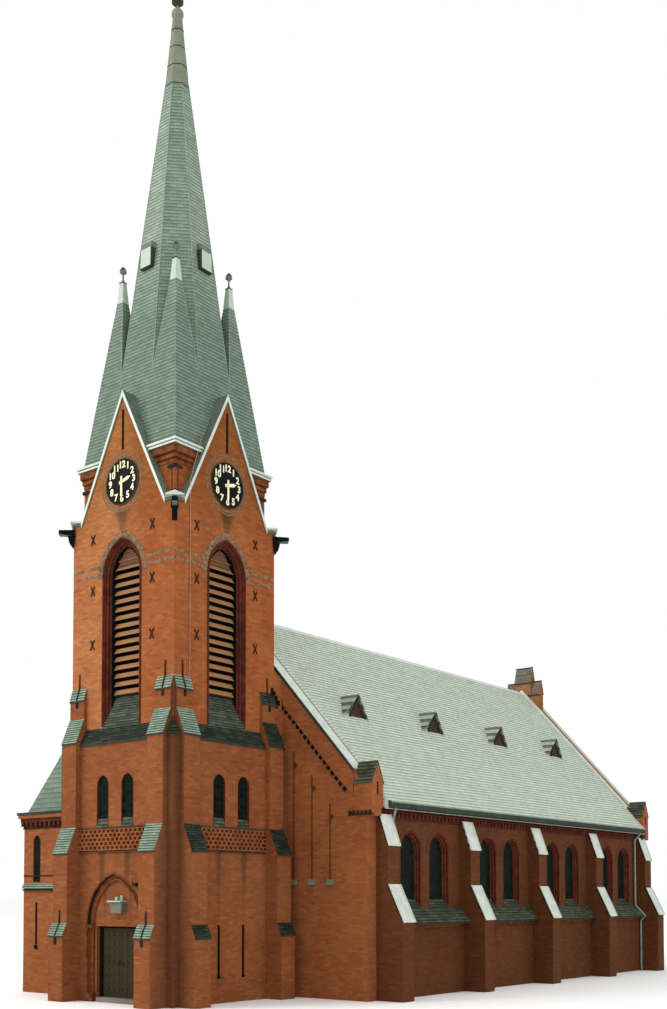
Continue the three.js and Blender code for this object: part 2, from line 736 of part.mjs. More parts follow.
addMesh(church, "tower_front_wall_left", frontLeft, brick);
addMesh(church, "tower_front_wall_right", frontRight, brick);
addMesh(church, "tower_front_wall_over_door", frontOver, brick);
addMesh(church, "tower_right_wall", sideWall(true).rotate([0, 0, 90]), brick);
addMesh(church, "tower_left_wall", leftSide, brick);
addMesh(church, "tower_back_wall", backWall(), brick);
addMesh(church, "church_floor", floor(), stone);
addMesh(church, "door_leaf_left", doorLeaf(-1), oak);
addMesh(church, "door_leaf_right", doorLeaf(1), oak);

const sides = [["front", 0], ["right", 90], ["back", 180], ["left", 270]];
for (const [name, turn] of sides) {
  const face = new THREE.Group();
  face.rotation.z = THREE.MathUtils.degToRad(turn);
  church.add(face);
  const open = name !== "back";
  addMesh(face, `belfry_wall_${name}`, belfryWall(open), brick);
  if (open) addMesh(face, `louvres_${name}`, louvres(), louvreWood);
  addMesh(face, `corner_block_${name}`, cornerBlock(), brick);
  addMesh(face, `hour_hand_${name}`, hand(420, 130, 96, 8, 75), gilt);
  addMesh(face, `minute_hand_${name}`, hand(600, 180, 76, 26, 180), gilt);
}
addMesh(church, "gable_copings", gableCopings(), zinc);
addMesh(church, "spire_roof", spireRoof(), slate);
addMesh(church, "spire_point", spirePoint(), zinc);

addMesh(church, "nave_west_gable", westGable(), brick);
addMesh(church, "nave_east_gable", eastGable(), brick);
const halves = [["right", 1], ["left", -1]];
for (const [name, side] of halves) {
  const place = (made) => (side > 0 ? made : made.mirror([1, 0, 0]));
  addMesh(church, `nave_wall_${name}`, place(naveWall()), brick);
  addMesh(church, `nave_buttresses_${name}`, place(buttressRow()), brick);
  addMesh(church, `nave_roof_${name}`, place(roofSlope()), paleSlate);
  const inner = nave.half - nave.wall - seat;
  const sheet = box(inner - glassThick, inner, 3900, 24300, 2850, 6000);
  addMesh(church, `nave_glass_${name}`, place(sheet), glass);
}

const towerPane = box(-900, 900, seat - inside, glassThick - inside, 5500, 7450);
addMesh(church, "tower_glass_front", towerPane, glass);
addMesh(church, "tower_glass_right", towerPane.rotate([0, 0, 90]), glass);
const eastPane = nave.east - nave.gableWall - seat;
addMesh(church, "nave_glass_east", box(-2400, 2400, eastPane - glassThick, eastPane, 3300, 7700), glass);
addMesh(church, "annex_wall", annexWall(), brick);
addMesh(church, "annex_roof", annexRoof(), slate);

export default church;
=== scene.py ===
"""Dresses a brick church: mouldings, slates, sheet metal, clock faces, doors and glass."""

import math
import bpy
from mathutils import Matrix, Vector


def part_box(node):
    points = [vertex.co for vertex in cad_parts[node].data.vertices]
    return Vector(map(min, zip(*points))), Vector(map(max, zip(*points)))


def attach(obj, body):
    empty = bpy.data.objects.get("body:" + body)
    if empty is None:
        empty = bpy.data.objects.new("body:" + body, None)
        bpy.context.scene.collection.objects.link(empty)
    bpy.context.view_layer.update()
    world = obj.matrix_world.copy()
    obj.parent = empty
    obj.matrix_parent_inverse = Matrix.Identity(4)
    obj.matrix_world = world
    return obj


bl_info = {
    "name": "Gabled Church",
    "version": (1, 0, 0),
    "blender": (4, 5, 0),
    "location": "View3D > Sidebar > Church",
    "description": "Adds the brickwork, slates, joinery and metalwork of a church to its solids",
    "category": "Add Mesh",
}

import bpy
from bpy.props import FloatProperty, FloatVectorProperty, IntProperty, PointerProperty
from mathutils import Matrix, Vector

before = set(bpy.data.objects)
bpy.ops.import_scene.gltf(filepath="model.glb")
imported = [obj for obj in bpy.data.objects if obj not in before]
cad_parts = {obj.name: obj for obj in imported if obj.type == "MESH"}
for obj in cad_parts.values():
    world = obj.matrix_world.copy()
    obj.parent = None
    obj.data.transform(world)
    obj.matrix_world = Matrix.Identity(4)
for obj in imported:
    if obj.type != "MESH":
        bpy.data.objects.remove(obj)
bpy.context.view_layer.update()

# The tower's axis, from the point of its spire
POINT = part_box("spire_point")
AXIS = (POINT[0] + POINT[1]) / 2
PLACE = Matrix.Translation((0, AXIS.y, 0))

# Frame sizes of the tower, measured from its axis
BELFRY = -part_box("belfry_wall_left")[0].x - 0.09
BASE = 2.64
SHOULDER = 8.41
BASE_TOP = 8.90
DIAL_Z = 16.896
EAVE = 17.784
GABLE_APEX = 19.944
SPIRE_APEX = 34.32
SPIRE_PITCH = 0.1317
SPIRE_RING = 31.3
PINNACLE_APEX = 24.6
PINNACLE_OFFSET = 1.28
CORNER_BUTTRESS = (1.68, 2.376)
BETWEEN_BUTTRESSES = (-1.67, 1.67)

# Its openings: half width, foot, height of the springing and rise of the head
SOUND = (0.883, 8.95, 13.85, 1.2)
LANCET = (0.278, 5.64, 7.0, 0.32)
LANCET_X = 0.583
PORTAL = (1.32, 0.16, 2.52, 1.64)

# Frame sizes of the nave and the annex
NAVE = 5.98
NAVE_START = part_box("nave_roof_right")[0].y - AXIS.y
NAVE_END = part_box("nave_roof_right")[1].y - AXIS.y
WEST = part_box("nave_west_gable")[1].y - AXIS.y - 0.72
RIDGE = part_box("nave_roof_right")[1].z
ROOF_PITCH = 1.112
GUTTER = 6.278
BAY = 5.19
FIRST_BUTTRESS = 3.362
BUTTRESS = 0.65
LEDGE_TOP = 3.01
WINDOW = (0.655, LEDGE_TOP, 4.94, 0.69)
WINDOW_X = 0.893
ANNEX_LEFT = 6.07
ANNEX_FRONT = -1.49
ANNEX_TOP = 6.38
ANNEX_INNER = -3.40

THREE_SIDES = (0, 1, 3)
FOUR_SIDES = (0, 1, 2, 3)
MIRROR_X = Matrix.Scale(-1, 4, (1, 0, 0))
MIRROR_Y = Matrix.Scale(-1, 4, (0, 1, 0))
ACROSS_CORNER = Matrix(((0, -1, 0, 0), (-1, 0, 0, 0), (0, 0, 1, 0), (0, 0, 0, 1)))
WHITE = (1, 1, 1)
BLACK_TO_WHITE = ((0, 0, 0), WHITE, (0.5, 0.5, 0.5))


def deselect():
    if bpy.context.mode != "OBJECT":
        bpy.ops.object.mode_set(mode="OBJECT")
    bpy.ops.object.select_all(action="DESELECT")


def only(*pieces):
    deselect()
    for piece in pieces:
        piece.select_set(True)
    bpy.context.view_layer.objects.active = pieces[-1]


def edit(piece):
    """Edit mode with all of a piece selected."""
    only(piece)
    bpy.ops.object.mode_set(mode="EDIT")
    bpy.ops.mesh.select_mode(type="VERT")
    bpy.ops.mesh.select_all(action="SELECT")


def leave():
    bpy.ops.object.mode_set(mode="OBJECT")


def apply_place():
    """Applies the place of the primitive that was just added."""
    piece = bpy.context.object
    only(piece)
    bpy.ops.object.transform_apply(location=True, rotation=True, scale=True)
    return piece


def modify(piece, kind, **settings):
    only(piece)
    modifier = piece.modifiers.new(kind, kind)
    for key, value in settings.items():
        setattr(modifier, key, value)
    bpy.ops.object.modifier_apply(modifier=modifier.name)
    return piece


def ease(piece, width, segments=1):
    """Bevels the edges of a piece if a width is given."""
    if width:
        modify(piece, "BEVEL", width=width, segments=segments, limit_method="ANGLE")
    return piece


def block(x, y, z, bevel=0.0):
    """A box between three pairs of limits, with its edges eased."""
    deselect()
    limits = (x, y, z)
    bpy.ops.mesh.primitive_cube_add(
        size=1,
        location=[(low + high) / 2 for low, high in limits],
        scale=[high - low for low, high in limits],
    )
    return ease(apply_place(), bevel)


def loop(points, axis, at):
    """A closed line of points in the plane across an axis."""
    deselect()
    bpy.ops.mesh.primitive_circle_add(vertices=len(points), radius=1, fill_type="NOTHING")
    piece = bpy.context.object
    for vertex, point in zip(piece.data.vertices, points):
        place = list(point)
        place.insert("XYZ".index(axis), at)
        vertex.co = place
    return piece


def close(piece, merge=False):
    """Caps open ends and turns all faces outwards; expects edit mode."""
    bpy.ops.mesh.select_all(action="SELECT")
    if merge:
        bpy.ops.mesh.remove_doubles(threshold=0.0002)
    bpy.ops.mesh.fill_holes(sides=0)
    bpy.ops.mesh.select_all(action="SELECT")
    bpy.ops.mesh.normals_make_consistent(inside=False)
    leave()
    return piece


def extrude(step):
    bpy.ops.mesh.extrude_region_move(TRANSFORM_OT_translate={"value": step})


def prism(points, axis, low, high, bevel=0.0):
    """An outline run from low to high along an axis."""
    piece = loop(points, axis, low)
    step = [0, 0, 0]
    step["XYZ".index(axis)] = high - low
    edit(piece)
    extrude(step)
    return ease(close(piece), bevel)


def arch(section, opening, y=0.0, steps=12, head_only=False):
    """A section run up a jamb and round a pointed head, in the plane that faces -Y.

    Each point of the section is its distance outside the opening and its height off the wall."""
    half, foot, spring, rise = opening
    centre = (rise * rise - half * half) / (2 * half)
    sweep = math.atan2(rise, centre) + 0.12
    start = spring if head_only else foot
    piece = loop([(half + out, -off) for out, off in section], "Z", start)
    edit(piece)
    if not head_only:
        extrude((0, 0, spring - foot))
    bpy.ops.mesh.spin(steps=steps, angle=sweep, center=(-centre, 0, spring), axis=(0, 1, 0))
    bpy.ops.mesh.select_all(action="SELECT")
    bpy.ops.mesh.bisect(plane_co=(0, 0, 0), plane_no=(-1, 0, 0), clear_outer=True)
    leave()
    modify(piece, "MIRROR", use_clip=True, merge_threshold=0.001)
    edit(piece)
    return shift(close(piece, merge=True), y=y)


def pointed(half, foot, spring, rise, steps=8):
    """The outline of an opening with a pointed head, as (across, up) points."""
    centre = (rise * rise - half * half) / (2 * half)
    sweep = math.atan2(rise, centre)
    right = []
    for i in range(steps):
        angle = sweep * i / steps
        right.append(((half + centre) * math.cos(angle) - centre, spring + (half + centre) * math.sin(angle)))
    left = [(-x, z) for x, z in reversed(right)]
    return [(-half, foot), (half, foot), *right, (0, spring + rise), *left]


def circle(across, off, radius, count):
    """The section of a round moulding."""
    angles = [math.tau * i / count for i in range(count)]
    return [(across + radius * math.cos(angle), off + radius * math.sin(angle)) for angle in angles]


def rod(start, end, radius, sides=10):
    """A round bar between two points."""
    deselect()
    start = Vector(start)
    way = Vector(end) - start
    bpy.ops.mesh.primitive_cylinder_add(
        vertices=sides,
        radius=radius,
        depth=way.length,
        location=start + way / 2,
        rotation=way.to_track_quat("Z", "Y").to_euler(),
    )
    return apply_place()


def lathe(profile, x=0, y=0, steps=8):
    """A line of (radius, height) points spun round an upright axis."""
    piece = loop([(x + radius, z) for radius, z in profile], "Y", y)
    edit(piece)
    bpy.ops.mesh.spin(steps=steps, angle=math.tau, center=(x, y, 0), axis=(0, 0, 1))
    return close(piece, merge=True)


def array(piece, count, step):
    """The piece and its copies, each a step further on."""
    if count > 1:
        offset = {"use_relative_offset": False, "use_constant_offset": True, "constant_offset_displace": step}
        modify(piece, "ARRAY", count=count, **offset)
    return piece


def cut(piece, point, away):
    """Cuts off what lies beyond a plane and closes the cut."""
    edit(piece)
    bpy.ops.mesh.bisect(plane_co=point, plane_no=Vector(away).normalized(), clear_outer=True, use_fill=True)
    leave()


def select_faces(piece, test):
    """Goes into edit mode with only the faces that pass a test selected."""
    edit(piece)
    bpy.ops.mesh.select_mode(type="FACE")
    bpy.ops.mesh.select_all(action="DESELECT")
    leave()
    for face in piece.data.polygons:
        face.select = test(face)
    bpy.ops.object.mode_set(mode="EDIT")


def faces_front(face):
    return face.normal.y < -0.9


def part_voussoirs(piece, joint=0.006, depth=0.006):
    """Sinks the joints between the bricks of a ring that faces -Y."""
    select_faces(piece, faces_front)
    bpy.ops.mesh.inset(thickness=joint, depth=depth, use_individual=True)
    leave()
    return piece


def shift(piece, x=0.0, y=0.0, z=0.0):
    piece.data.transform(Matrix.Translation((x, y, z)))
    return piece


def turn(quarter):
    return Matrix.Rotation(math.radians(90 * quarter), 4, "Z")


def turned(piece, quarter):
    piece.data.transform(turn(quarter))
    return piece


def around(x, y, degrees):
    """A turn about an upright axis at a point."""
    there = Matrix.Translation((x, y, 0))
    return there @ Matrix.Rotation(math.radians(degrees), 4, "Z") @ there.inverted()


def copy(piece, matrix):
    """A copy with its own mesh, placed by a matrix."""
    only(piece)
    bpy.ops.object.duplicate(linked=False)
    twin = bpy.context.object
    twin.data.transform(matrix)
    if matrix.determinant() < 0:
        edit(twin)
        bpy.ops.mesh.flip_normals()
        leave()
    return twin


def both_sides(piece):
    """The piece and its mirror image across the middle."""
    return [piece, copy(piece, MIRROR_X)]


def join(pieces):
    if len(pieces) == 1:
        return pieces[0]
    only(*pieces)
    bpy.ops.object.join()
    return bpy.context.object


def settle(pieces, name, finish, smooth=0.0, body="building"):
    """Joins and names finished pieces, moves them to their place in the church and gives them a finish."""
    piece = join(pieces)
    piece.data.transform(PLACE)
    piece.name = name
    piece.data.name = name
    piece.data.materials.clear()
    piece.data.materials.append(FINISHES[finish])
    if smooth:
        only(piece)
        bpy.ops.object.shade_smooth_by_angle(angle=math.radians(smooth))
    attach(piece, body)


def on_tower(pieces, name, finish, quarters=(0,), smooth=0.0):
    """Joins pieces drawn on the entrance side, and copies them to the other sides of the tower."""
    first = join(pieces)
    copies = [copy(first, turn(quarter)) for quarter in quarters if quarter]
    if 0 in quarters:
        copies.append(first)
    else:
        bpy.data.objects.remove(first)
    settle(copies, name, finish, smooth)


def on_nave(pieces, name, finish, smooth=0.0, quarter=0):
    """Joins pieces for the nave's right side, turned there if need be, and mirrors them to its left."""
    whole = join(pieces)
    if quarter:
        turned(whole, quarter)
    settle(both_sides(whole), name, finish, smooth)


def courses(x0, x1, foot, head, exposure=0.2, butt=0.014, overhang=0.03):
    """Courses of slates on a slope that faces -Y, from its foot to its head, each (y, z).

    The piece's UV map counts slates along it and courses up it."""
    foot = Vector(foot)
    rise = Vector(head) - foot
    count = max(1, round(rise.length / exposure))
    along = rise / count
    up = rise.normalized()
    out = Vector((-up.y, up.x))
    edge = foot - up * overhang
    corners = [edge, edge + out * butt, foot + along + out * butt * 0.3, foot + along - out * 0.002]
    piece = prism([tuple(corner) for corner in corners], "X", x0, x1)
    array(piece, count, (0, along.x, along.y))
    lay_uv(piece, edge, up, along.length)
    return piece


def lay_uv(piece, foot, up, course, slate=0.24):
    mesh = piece.data
    layer = mesh.uv_layers.active or mesh.uv_layers.new(name="UVMap")
    for corner in mesh.loops:
        x, y, z = mesh.vertices[corner.vertex_index].co
        rise = (Vector((y, z)) - foot).dot(up)
        layer.data[corner.index].uv = (x / slate, rise / course)


class Finish:
    """A node material built up step by step."""

    def __init__(self, name, roughness=0.6, metallic=0.0, specular=0.5):
        self.material = bpy.data.materials.new(name)
        self.material.use_nodes = True
        self.tree = self.material.node_tree
        self.shader = self.tree.nodes["Principled BSDF"]
        self.shader.inputs["Roughness"].default_value = roughness
        self.shader.inputs["Metallic"].default_value = metallic
        self.shader.inputs["Specular IOR Level"].default_value = specular

    def add(self, kind, inputs=None, **settings):
        node = self.tree.nodes.new("ShaderNode" + kind)
        for key, value in settings.items():
            setattr(node, key, value)
        for key, value in (inputs or {}).items():
            self.feed(value, node.inputs[key])
        return node

    def feed(self, value, socket):
        if isinstance(value, bpy.types.NodeSocket):
            self.tree.links.new(value, socket)
        elif value is not None:
            socket.default_value = value

    def maths(self, operation, *values):
        return self.add("Math", dict(enumerate(values)), operation=operation).outputs[0]

    def vector(self, operation, *values):
        node = self.add("VectorMath", dict(enumerate(values)), operation=operation)
        return node.outputs["Value" if operation == "DOT_PRODUCT" else "Vector"]

    def place(self):
        return self.add("TexCoord").outputs["Object"]

    def part(self, axis, where=None):
        """One coordinate of a place."""
        return self.add("SeparateXYZ", {"Vector": where or self.place()}).outputs[axis]

    def span(self, value, low, high, start=0.0, end=1.0):
        """Runs from start to end as a value runs from low to high."""
        return self.add("MapRange", {"Value": value, 1: low, 2: high, 3: start, 4: end}).outputs[0]

    def noise(self, scale, detail=4.0, roughness=0.55, stretch=None):
        where = self.place()
        if stretch:
            where = self.vector("MULTIPLY", where, stretch)
        inputs = {"Vector": where, "Scale": scale, "Detail": detail, "Roughness": roughness}
        return self.add("TexNoise", inputs).outputs["Fac"]

    def bricks(self, where, width, row, joint, smooth, colours=BLACK_TO_WHITE, offset=0.5):
        """Colour from brick to brick, and the share of joint."""
        inputs = {"Vector": where, "Scale": 1.0, "Mortar Size": joint, "Mortar Smooth": smooth}
        inputs.update({"Brick Width": width, "Row Height": row})
        inputs.update(zip(("Color1", "Color2", "Mortar"), map(shade, colours)))
        outputs = self.add("TexBrick", inputs, offset=offset).outputs
        return outputs["Color"], outputs["Fac"]

    def ramp(self, value, *stops):
        node = self.add("ValToRGB", {"Fac": value})
        elements = node.color_ramp.elements
        while len(elements) < len(stops):
            elements.new(0.5)
        for element, (position, colour) in zip(elements, stops):
            element.position = position
            element.color = shade(colour)
        return node.outputs["Color"]

    def mix(self, factor, first, second, blend="MIX"):
        node = self.add("Mix", data_type="RGBA", blend_type=blend)
        self.feed(factor, node.inputs[0])
        for value, socket in ((first, node.inputs[6]), (second, node.inputs[7])):
            self.feed(value if isinstance(value, bpy.types.NodeSocket) else shade(value), socket)
        return node.outputs[2]

    def specks(self, share, tone, grain, low):
        """Darkens a tone where the grain is low."""
        return self.mix(share, tone, self.ramp(grain, (0.3, (low, low, low)), (0.7, WHITE)), "MULTIPLY")

    def surface(self):
        """Distances in metres across and up any flat face, from its own slope."""
        coordinates = self.add("TexCoord")
        where, normal = coordinates.outputs["Object"], coordinates.outputs["Normal"]
        level = self.vector("NORMALIZE", self.vector("CROSS_PRODUCT", (0.0, 0.001, 1.0), normal))
        slope = self.vector("CROSS_PRODUCT", normal, level)
        across = self.vector("DOT_PRODUCT", where, level)
        up = self.vector("DOT_PRODUCT", where, slope)
        return self.add("CombineXYZ", {"X": across, "Y": up}).outputs[0]

    def finish(self, colour, roughness, height, distance, strength):
        self.feed(colour, self.shader.inputs["Base Color"])
        self.feed(roughness, self.shader.inputs["Roughness"])
        bump = self.add("Bump", {"Height": height, "Strength": strength, "Distance": distance})
        self.tree.links.new(bump.outputs["Normal"], self.shader.inputs["Normal"])
        return self.material


def shade(colour):
    return (*colour[:3], 1.0)


def times(colour, *shares):
    """A colour with each of its parts times its own share."""
    return tuple(part * share for part, share in zip(colour, shares))


def darker(colour, share):
    return times(colour, share, share, share)


def tones(colour, *shares):
    return [darker(colour, share) for share in shares]


def brickwork(name, colour, dark, mortar, weathering=0.35, drips=None, tints=(), corners=False):
    """Bricks in courses: each its own tone, with mortar joints and streaks of soot.

    Drips are (top, foot, half width, offset) of dark stains beside the middle of each side; each
    tint is an axis, two places along it and the tone that the wall takes on from one to the other."""
    f = Finish(name, 0.9, specular=0.15)
    where = f.surface()
    each, joint = f.bricks(where, 0.26, 0.083, 0.006, 0.25)
    tone = f.ramp(
        each,
        (0.0, dark),
        (0.25, darker(colour, 0.9)),
        (0.5, times(colour, 0.9, 0.62, 0.5)),
        (0.75, darker(colour, 1.35)),
        (1.0, darker(colour, 0.8)),
    )
    patches = f.noise(0.55, 8.0, 0.72)
    streaks = f.noise(1.0, 4.0, 0.6, stretch=(1.6, 1.6, 0.22))
    grain = f.noise(34.0, 3.0, 0.6)
    red = times(colour, 0.82, 0.55, 0.5)
    firing = f.ramp(patches, (0.36, red), (0.5, darker(colour, 0.98)), (0.64, darker(colour, 1.3)))
    fired = f.mix(0.5, tone, firing)
    worn = f.mix(f.maths("MULTIPLY", f.maths("SMOOTH_MIN", streaks, 0.7, 0.2), weathering), fired, dark)
    if drips:
        worn = f.mix(stain(f, where, streaks, *drips), worn, (0.028, 0.030, 0.020))
    walled = f.mix(f.maths("MULTIPLY", joint, 0.7), f.specks(0.35, worn, grain, 0.3), mortar)
    for axis, low, high, tint in tints:
        walled = f.mix(f.span(f.part(axis), low, high), walled, tint, "MULTIPLY")
    # In the angles at the corners: soot streaks together with painted shade, darkest deep in each angle.
    if corners:
        walled = f.mix(corner_soot(f, streaks), walled, (0.045, 0.020, 0.011))
    height = f.maths("ADD", f.maths("MULTIPLY", joint, -1.0), f.maths("MULTIPLY", grain, 0.35))
    return f.finish(walled, None, height, 0.006, 0.7)


def stain(f, where, streaks, top, foot, half, offset):
    """Share of soot in tapering drips at an offset from the middle of each side of the tower."""
    across = f.maths("ABSOLUTE", f.part("X", where))
    on_sides = f.maths("ABSOLUTE", f.maths("SUBTRACT", across, abs(AXIS.y)))
    off = f.maths("ABSOLUTE", f.maths("SUBTRACT", f.maths("MINIMUM", across, on_sides), offset))
    up = f.part("Z")
    beside = f.span(f.maths("DIVIDE", off, f.span(up, foot, top, 0.03, half)), 0.5, 1.2, 1.0, 0.0)
    below = f.span(up, top - 0.02, top + 0.12, 1.0, 0.0)
    above = f.span(up, foot, top - 0.1, 0.1, 1.0)
    share = f.maths("MULTIPLY", f.maths("MULTIPLY", beside, below), above)
    return f.maths("MULTIPLY", share, f.maths("MULTIPLY_ADD", streaks, 0.6, 0.5))


def corner_soot(f, streaks):
    """Share of soot streaks and painted shade in the angles between the buttresses at the tower's corners,
    darkest deep in each angle.
    """
    x = f.maths("ABSOLUTE", f.part("X"))
    y = f.maths("ABSOLUTE", f.maths("SUBTRACT", f.part("Y"), AXIS.y))
    inside = f.span(f.maths("MINIMUM", x, y), 2.36, 2.377)
    depth = f.span(f.maths("MAXIMUM", x, y), 2.6, 3.3, 0.85, 0.15)
    share = f.maths("MULTIPLY", inside, depth)
    return f.maths("MULTIPLY", share, f.maths("MULTIPLY_ADD", streaks, 1.1, 0.15))


def moulded_brick(name, colour, dark, patch=3.2):
    """Bricks moulded to a curve, close jointed, a little glazed by firing."""
    f = Finish(name, 0.8, specular=0.08)
    tone = f.ramp(f.noise(patch, 3.0, 0.7), (0.36, dark), (0.64, colour))
    grain = f.noise(40.0, 3.0, 0.6)
    return f.finish(f.specks(0.35, tone, grain, 0.35), None, grain, 0.003, 0.5)


def slating(name, colour, dark, pale, by_map=True, worn=0.5, bands=0.0, low_tone=None):
    """Slates in courses: tones from slate to slate, dark joints, pale lichen and a shadow under each butt.

    The low tone is taken on towards the eaves of the spire."""
    f = Finish(name, 0.62, specular=0.08)
    where = f.add("UVMap").outputs["UV"] if by_map else f.surface()
    width, row = (1.0, 1.0) if by_map else (0.24, 0.2)
    each, joint = f.bricks(where, width, row, 0.022 * row, 0.4)
    tone = f.ramp(each, (0.0, dark), (0.45, colour), (1.0, pale))
    lichen = f.noise(1.3, 6.0, 0.7)
    streaks = f.noise(2.2, 4.0, 0.6, stretch=(2.0, 2.0, 0.3))
    stained = f.mix(worn, tone, f.ramp(lichen, (0.32, dark), (0.55, colour), (0.75, pale)))
    slates = f.mix(f.maths("MULTIPLY", streaks, 0.4), stained, darker(dark, 0.9))
    if bands:
        rise = f.maths("FRACT", f.part("Y", where))
        stops = (0.0, WHITE), (0.5, (0.9, 0.9, 0.9)), (0.62, (0.16, 0.17, 0.16)), (1.0, (0.10, 0.11, 0.10))
        slates = f.mix(bands, slates, f.ramp(rise, *stops), "MULTIPLY")
    grain = f.noise(28.0, 3.0, 0.6)
    slates = f.mix(f.maths("MULTIPLY", joint, 0.6), f.specks(0.3, slates, grain, 0.45), darker(dark, 0.45))
    if low_tone:
        slates = f.mix(f.span(f.part("Z"), 25.5, 22.5), slates, low_tone, "MULTIPLY")
    return f.finish(slates, None, f.maths("SUBTRACT", f.maths("MULTIPLY", grain, 0.3), joint), 0.004, 0.6)


def sheet_metal(name, colour, dark, roughness=0.6, metallic=0.1):
    """Weathered sheet: soft blotches, rain streaks and a little dirt in its dents."""
    f = Finish(name, roughness, metallic, 0.2)
    blotches = f.noise(2.6, 5.0, 0.65)
    streaks = f.noise(3.0, 4.0, 0.6, stretch=(3.0, 3.0, 0.4))
    tone = f.ramp(blotches, (0.3, dark), (0.6, colour))
    streaked = f.mix(f.maths("MULTIPLY", streaks, 0.35), tone, darker(dark, 0.75))
    rough = f.maths("MULTIPLY_ADD", blotches, 0.3, roughness - 0.15)
    return f.finish(streaked, rough, f.noise(7.0, 2.0, 0.5), 0.004, 0.3)


def timber(name, colour, dark, along="Z", roughness=0.7, boards_from=None):
    """Weathered boards with their grain along one axis.

    Boards that start at a height and repeat every 0.274 m lie in shadow along their upper edges."""
    f = Finish(name, roughness, specular=0.2)
    grain = f.noise(38.0, 6.0, 0.65, stretch=[0.08 if axis == along else 1.0 for axis in "XYZ"])
    boards = f.noise(1.4, 3.0, 0.6)
    tone = f.ramp(grain, (0.32, dark), (0.68, colour))
    faded = f.mix(f.maths("MULTIPLY", boards, 0.5), tone, darker(colour, 0.8))
    if boards_from:
        share = f.maths("FRACT", f.maths("DIVIDE", f.maths("SUBTRACT", f.part("Z"), boards_from), 0.274))
        faded = f.mix(1.0, faded, f.ramp(share, (0.60, WHITE), (0.68, (0.05, 0.05, 0.05))), "MULTIPLY")
    return f.finish(faded, None, grain, 0.002, 0.6)


def ironwork(name, colour, roughness=0.6):
    """Painted or rusted iron with a pitted skin."""
    f = Finish(name, roughness, specular=0.03)
    pits = f.noise(26.0, 4.0, 0.7)
    tone = f.ramp(f.noise(5.0, 4.0, 0.6), (0.35, colour), (0.75, darker(colour, 2.2)))
    return f.finish(tone, None, pits, 0.002, 0.5)


def enamel(name, colour, roughness=0.5):
    """Dial paint, a little uneven and dusty."""
    f = Finish(name, roughness, specular=0.03)
    dust = f.noise(9.0, 5.0, 0.7)
    return f.finish(f.ramp(dust, (0.35, colour), (0.8, darker(colour, 0.72))), None, dust, 0.001, 0.3)


def leaded_glass(name, colour, dark, lead, pane=0.16):
    """Small panes in lead, each a little out of true, dark from outside."""
    f = Finish(name, 0.3, specular=0.02)
    tone, joint = f.bricks(f.surface(), pane, pane * 1.25, 0.007, 0.1, (dark, colour, lead), 0.0)
    waves = f.noise(5.0, 2.0, 0.5)
    rough = f.maths("MULTIPLY_ADD", joint, 0.4, 0.3)
    return f.finish(tone, rough, f.maths("ADD", f.maths("MULTIPLY", joint, 0.6), waves), 0.006, 0.5)


def paving(name, colour, dark):
    """Worn flags on the floor inside."""
    f = Finish(name, 0.8)
    patches = f.noise(0.9, 5.0, 0.6)
    return f.finish(f.ramp(patches, (0.3, dark), (0.7, colour)), None, patches, 0.004, 0.4)


class ChurchColours(bpy.types.PropertyGroup):
    """Colours of the walls, roofs and metalwork."""

    brick: FloatVectorProperty(
        name="Brick", description="Main tone of the facing bricks", subtype="COLOR",
        size=3, min=0, max=1, default=(0.47, 0.152, 0.047),
    )
    brick_dark: FloatVectorProperty(
        name="Dark brick", description="Tone of overburnt and weathered bricks", subtype="COLOR",
        size=3, min=0, max=1, default=(0.25, 0.070, 0.022),
    )
    mortar: FloatVectorProperty(
        name="Mortar", description="Tone of the joints", subtype="COLOR",
        size=3, min=0, max=1, default=(0.26, 0.14, 0.06),
    )
    slate: FloatVectorProperty(
        name="Slate", description="Main tone of the spire's slates", subtype="COLOR",
        size=3, min=0, max=1, default=(0.165, 0.225, 0.170),
    )
    pale_slate: FloatVectorProperty(
        name="Nave slate", description="Main tone of the nave's slates", subtype="COLOR",
        size=3, min=0, max=1, default=(0.50, 0.57, 0.47),
    )
    zinc: FloatVectorProperty(
        name="Zinc", description="Tone of the sheet metal", subtype="COLOR",
        size=3, min=0, max=1, default=(0.62, 0.68, 0.60),
    )
    oak: FloatVectorProperty(
        name="Oak", description="Tone of the doors", subtype="COLOR",
        size=3, min=0, max=1, default=(0.045, 0.033, 0.013),
    )
    louvre: FloatVectorProperty(
        name="Louvres", description="Tone of the louvre boards", subtype="COLOR",
        size=3, min=0, max=1, default=(0.36, 0.175, 0.07),
    )


class ChurchSizes(bpy.types.PropertyGroup):
    """Sizes of the repeated small work."""

    spire_course: FloatProperty(
        name="Spire course", description="Height of a course of slates on the spire",
        default=0.125, min=0.08, unit="LENGTH",
    )
    nave_course: FloatProperty(
        name="Nave course", description="Height of a course of slates on the nave",
        default=0.16, min=0.08, unit="LENGTH",
    )
    dentil: FloatProperty(
        name="Dentil spacing", description="Distance from one brick dentil to the next",
        default=0.25, min=0.1, unit="LENGTH",
    )
    lattice_rows: IntProperty(
        name="Lattice rows", description="Rows of openings in the pierced brick bands",
        default=5, min=2,
    )
    anchor: FloatProperty(
        name="Wall anchor", description="Length of an arm of the crossed wall anchors",
        default=0.36, min=0.1, unit="LENGTH",
    )


FINISHES = {}

# The finish of each solid by the start of its name, the first that fits
SOLID_FINISHES = (
    ("tower_glass", "glass"), ("nave_glass", "glass"), ("minute_hand", "cream"), ("hour_hand", "cream"),
    ("door", "oak"), ("louvres", "louvre"), ("church_floor", "floor"), ("gable_copings", "flank"),
    ("spire_point", "tip_sheet"), ("spire_roof", "slate_solid"), ("annex_roof", "slate_solid"),
    ("nave_roof", "nave_slate_solid"), ("nave_wall", "shaded_side_brick"), ("nave_buttresses", "shaded_side_brick"),
    ("nave", "nave_brick"), ("annex", "nave_brick"), ("tower", "shaded_base_brick"), ("", "brick"),
)


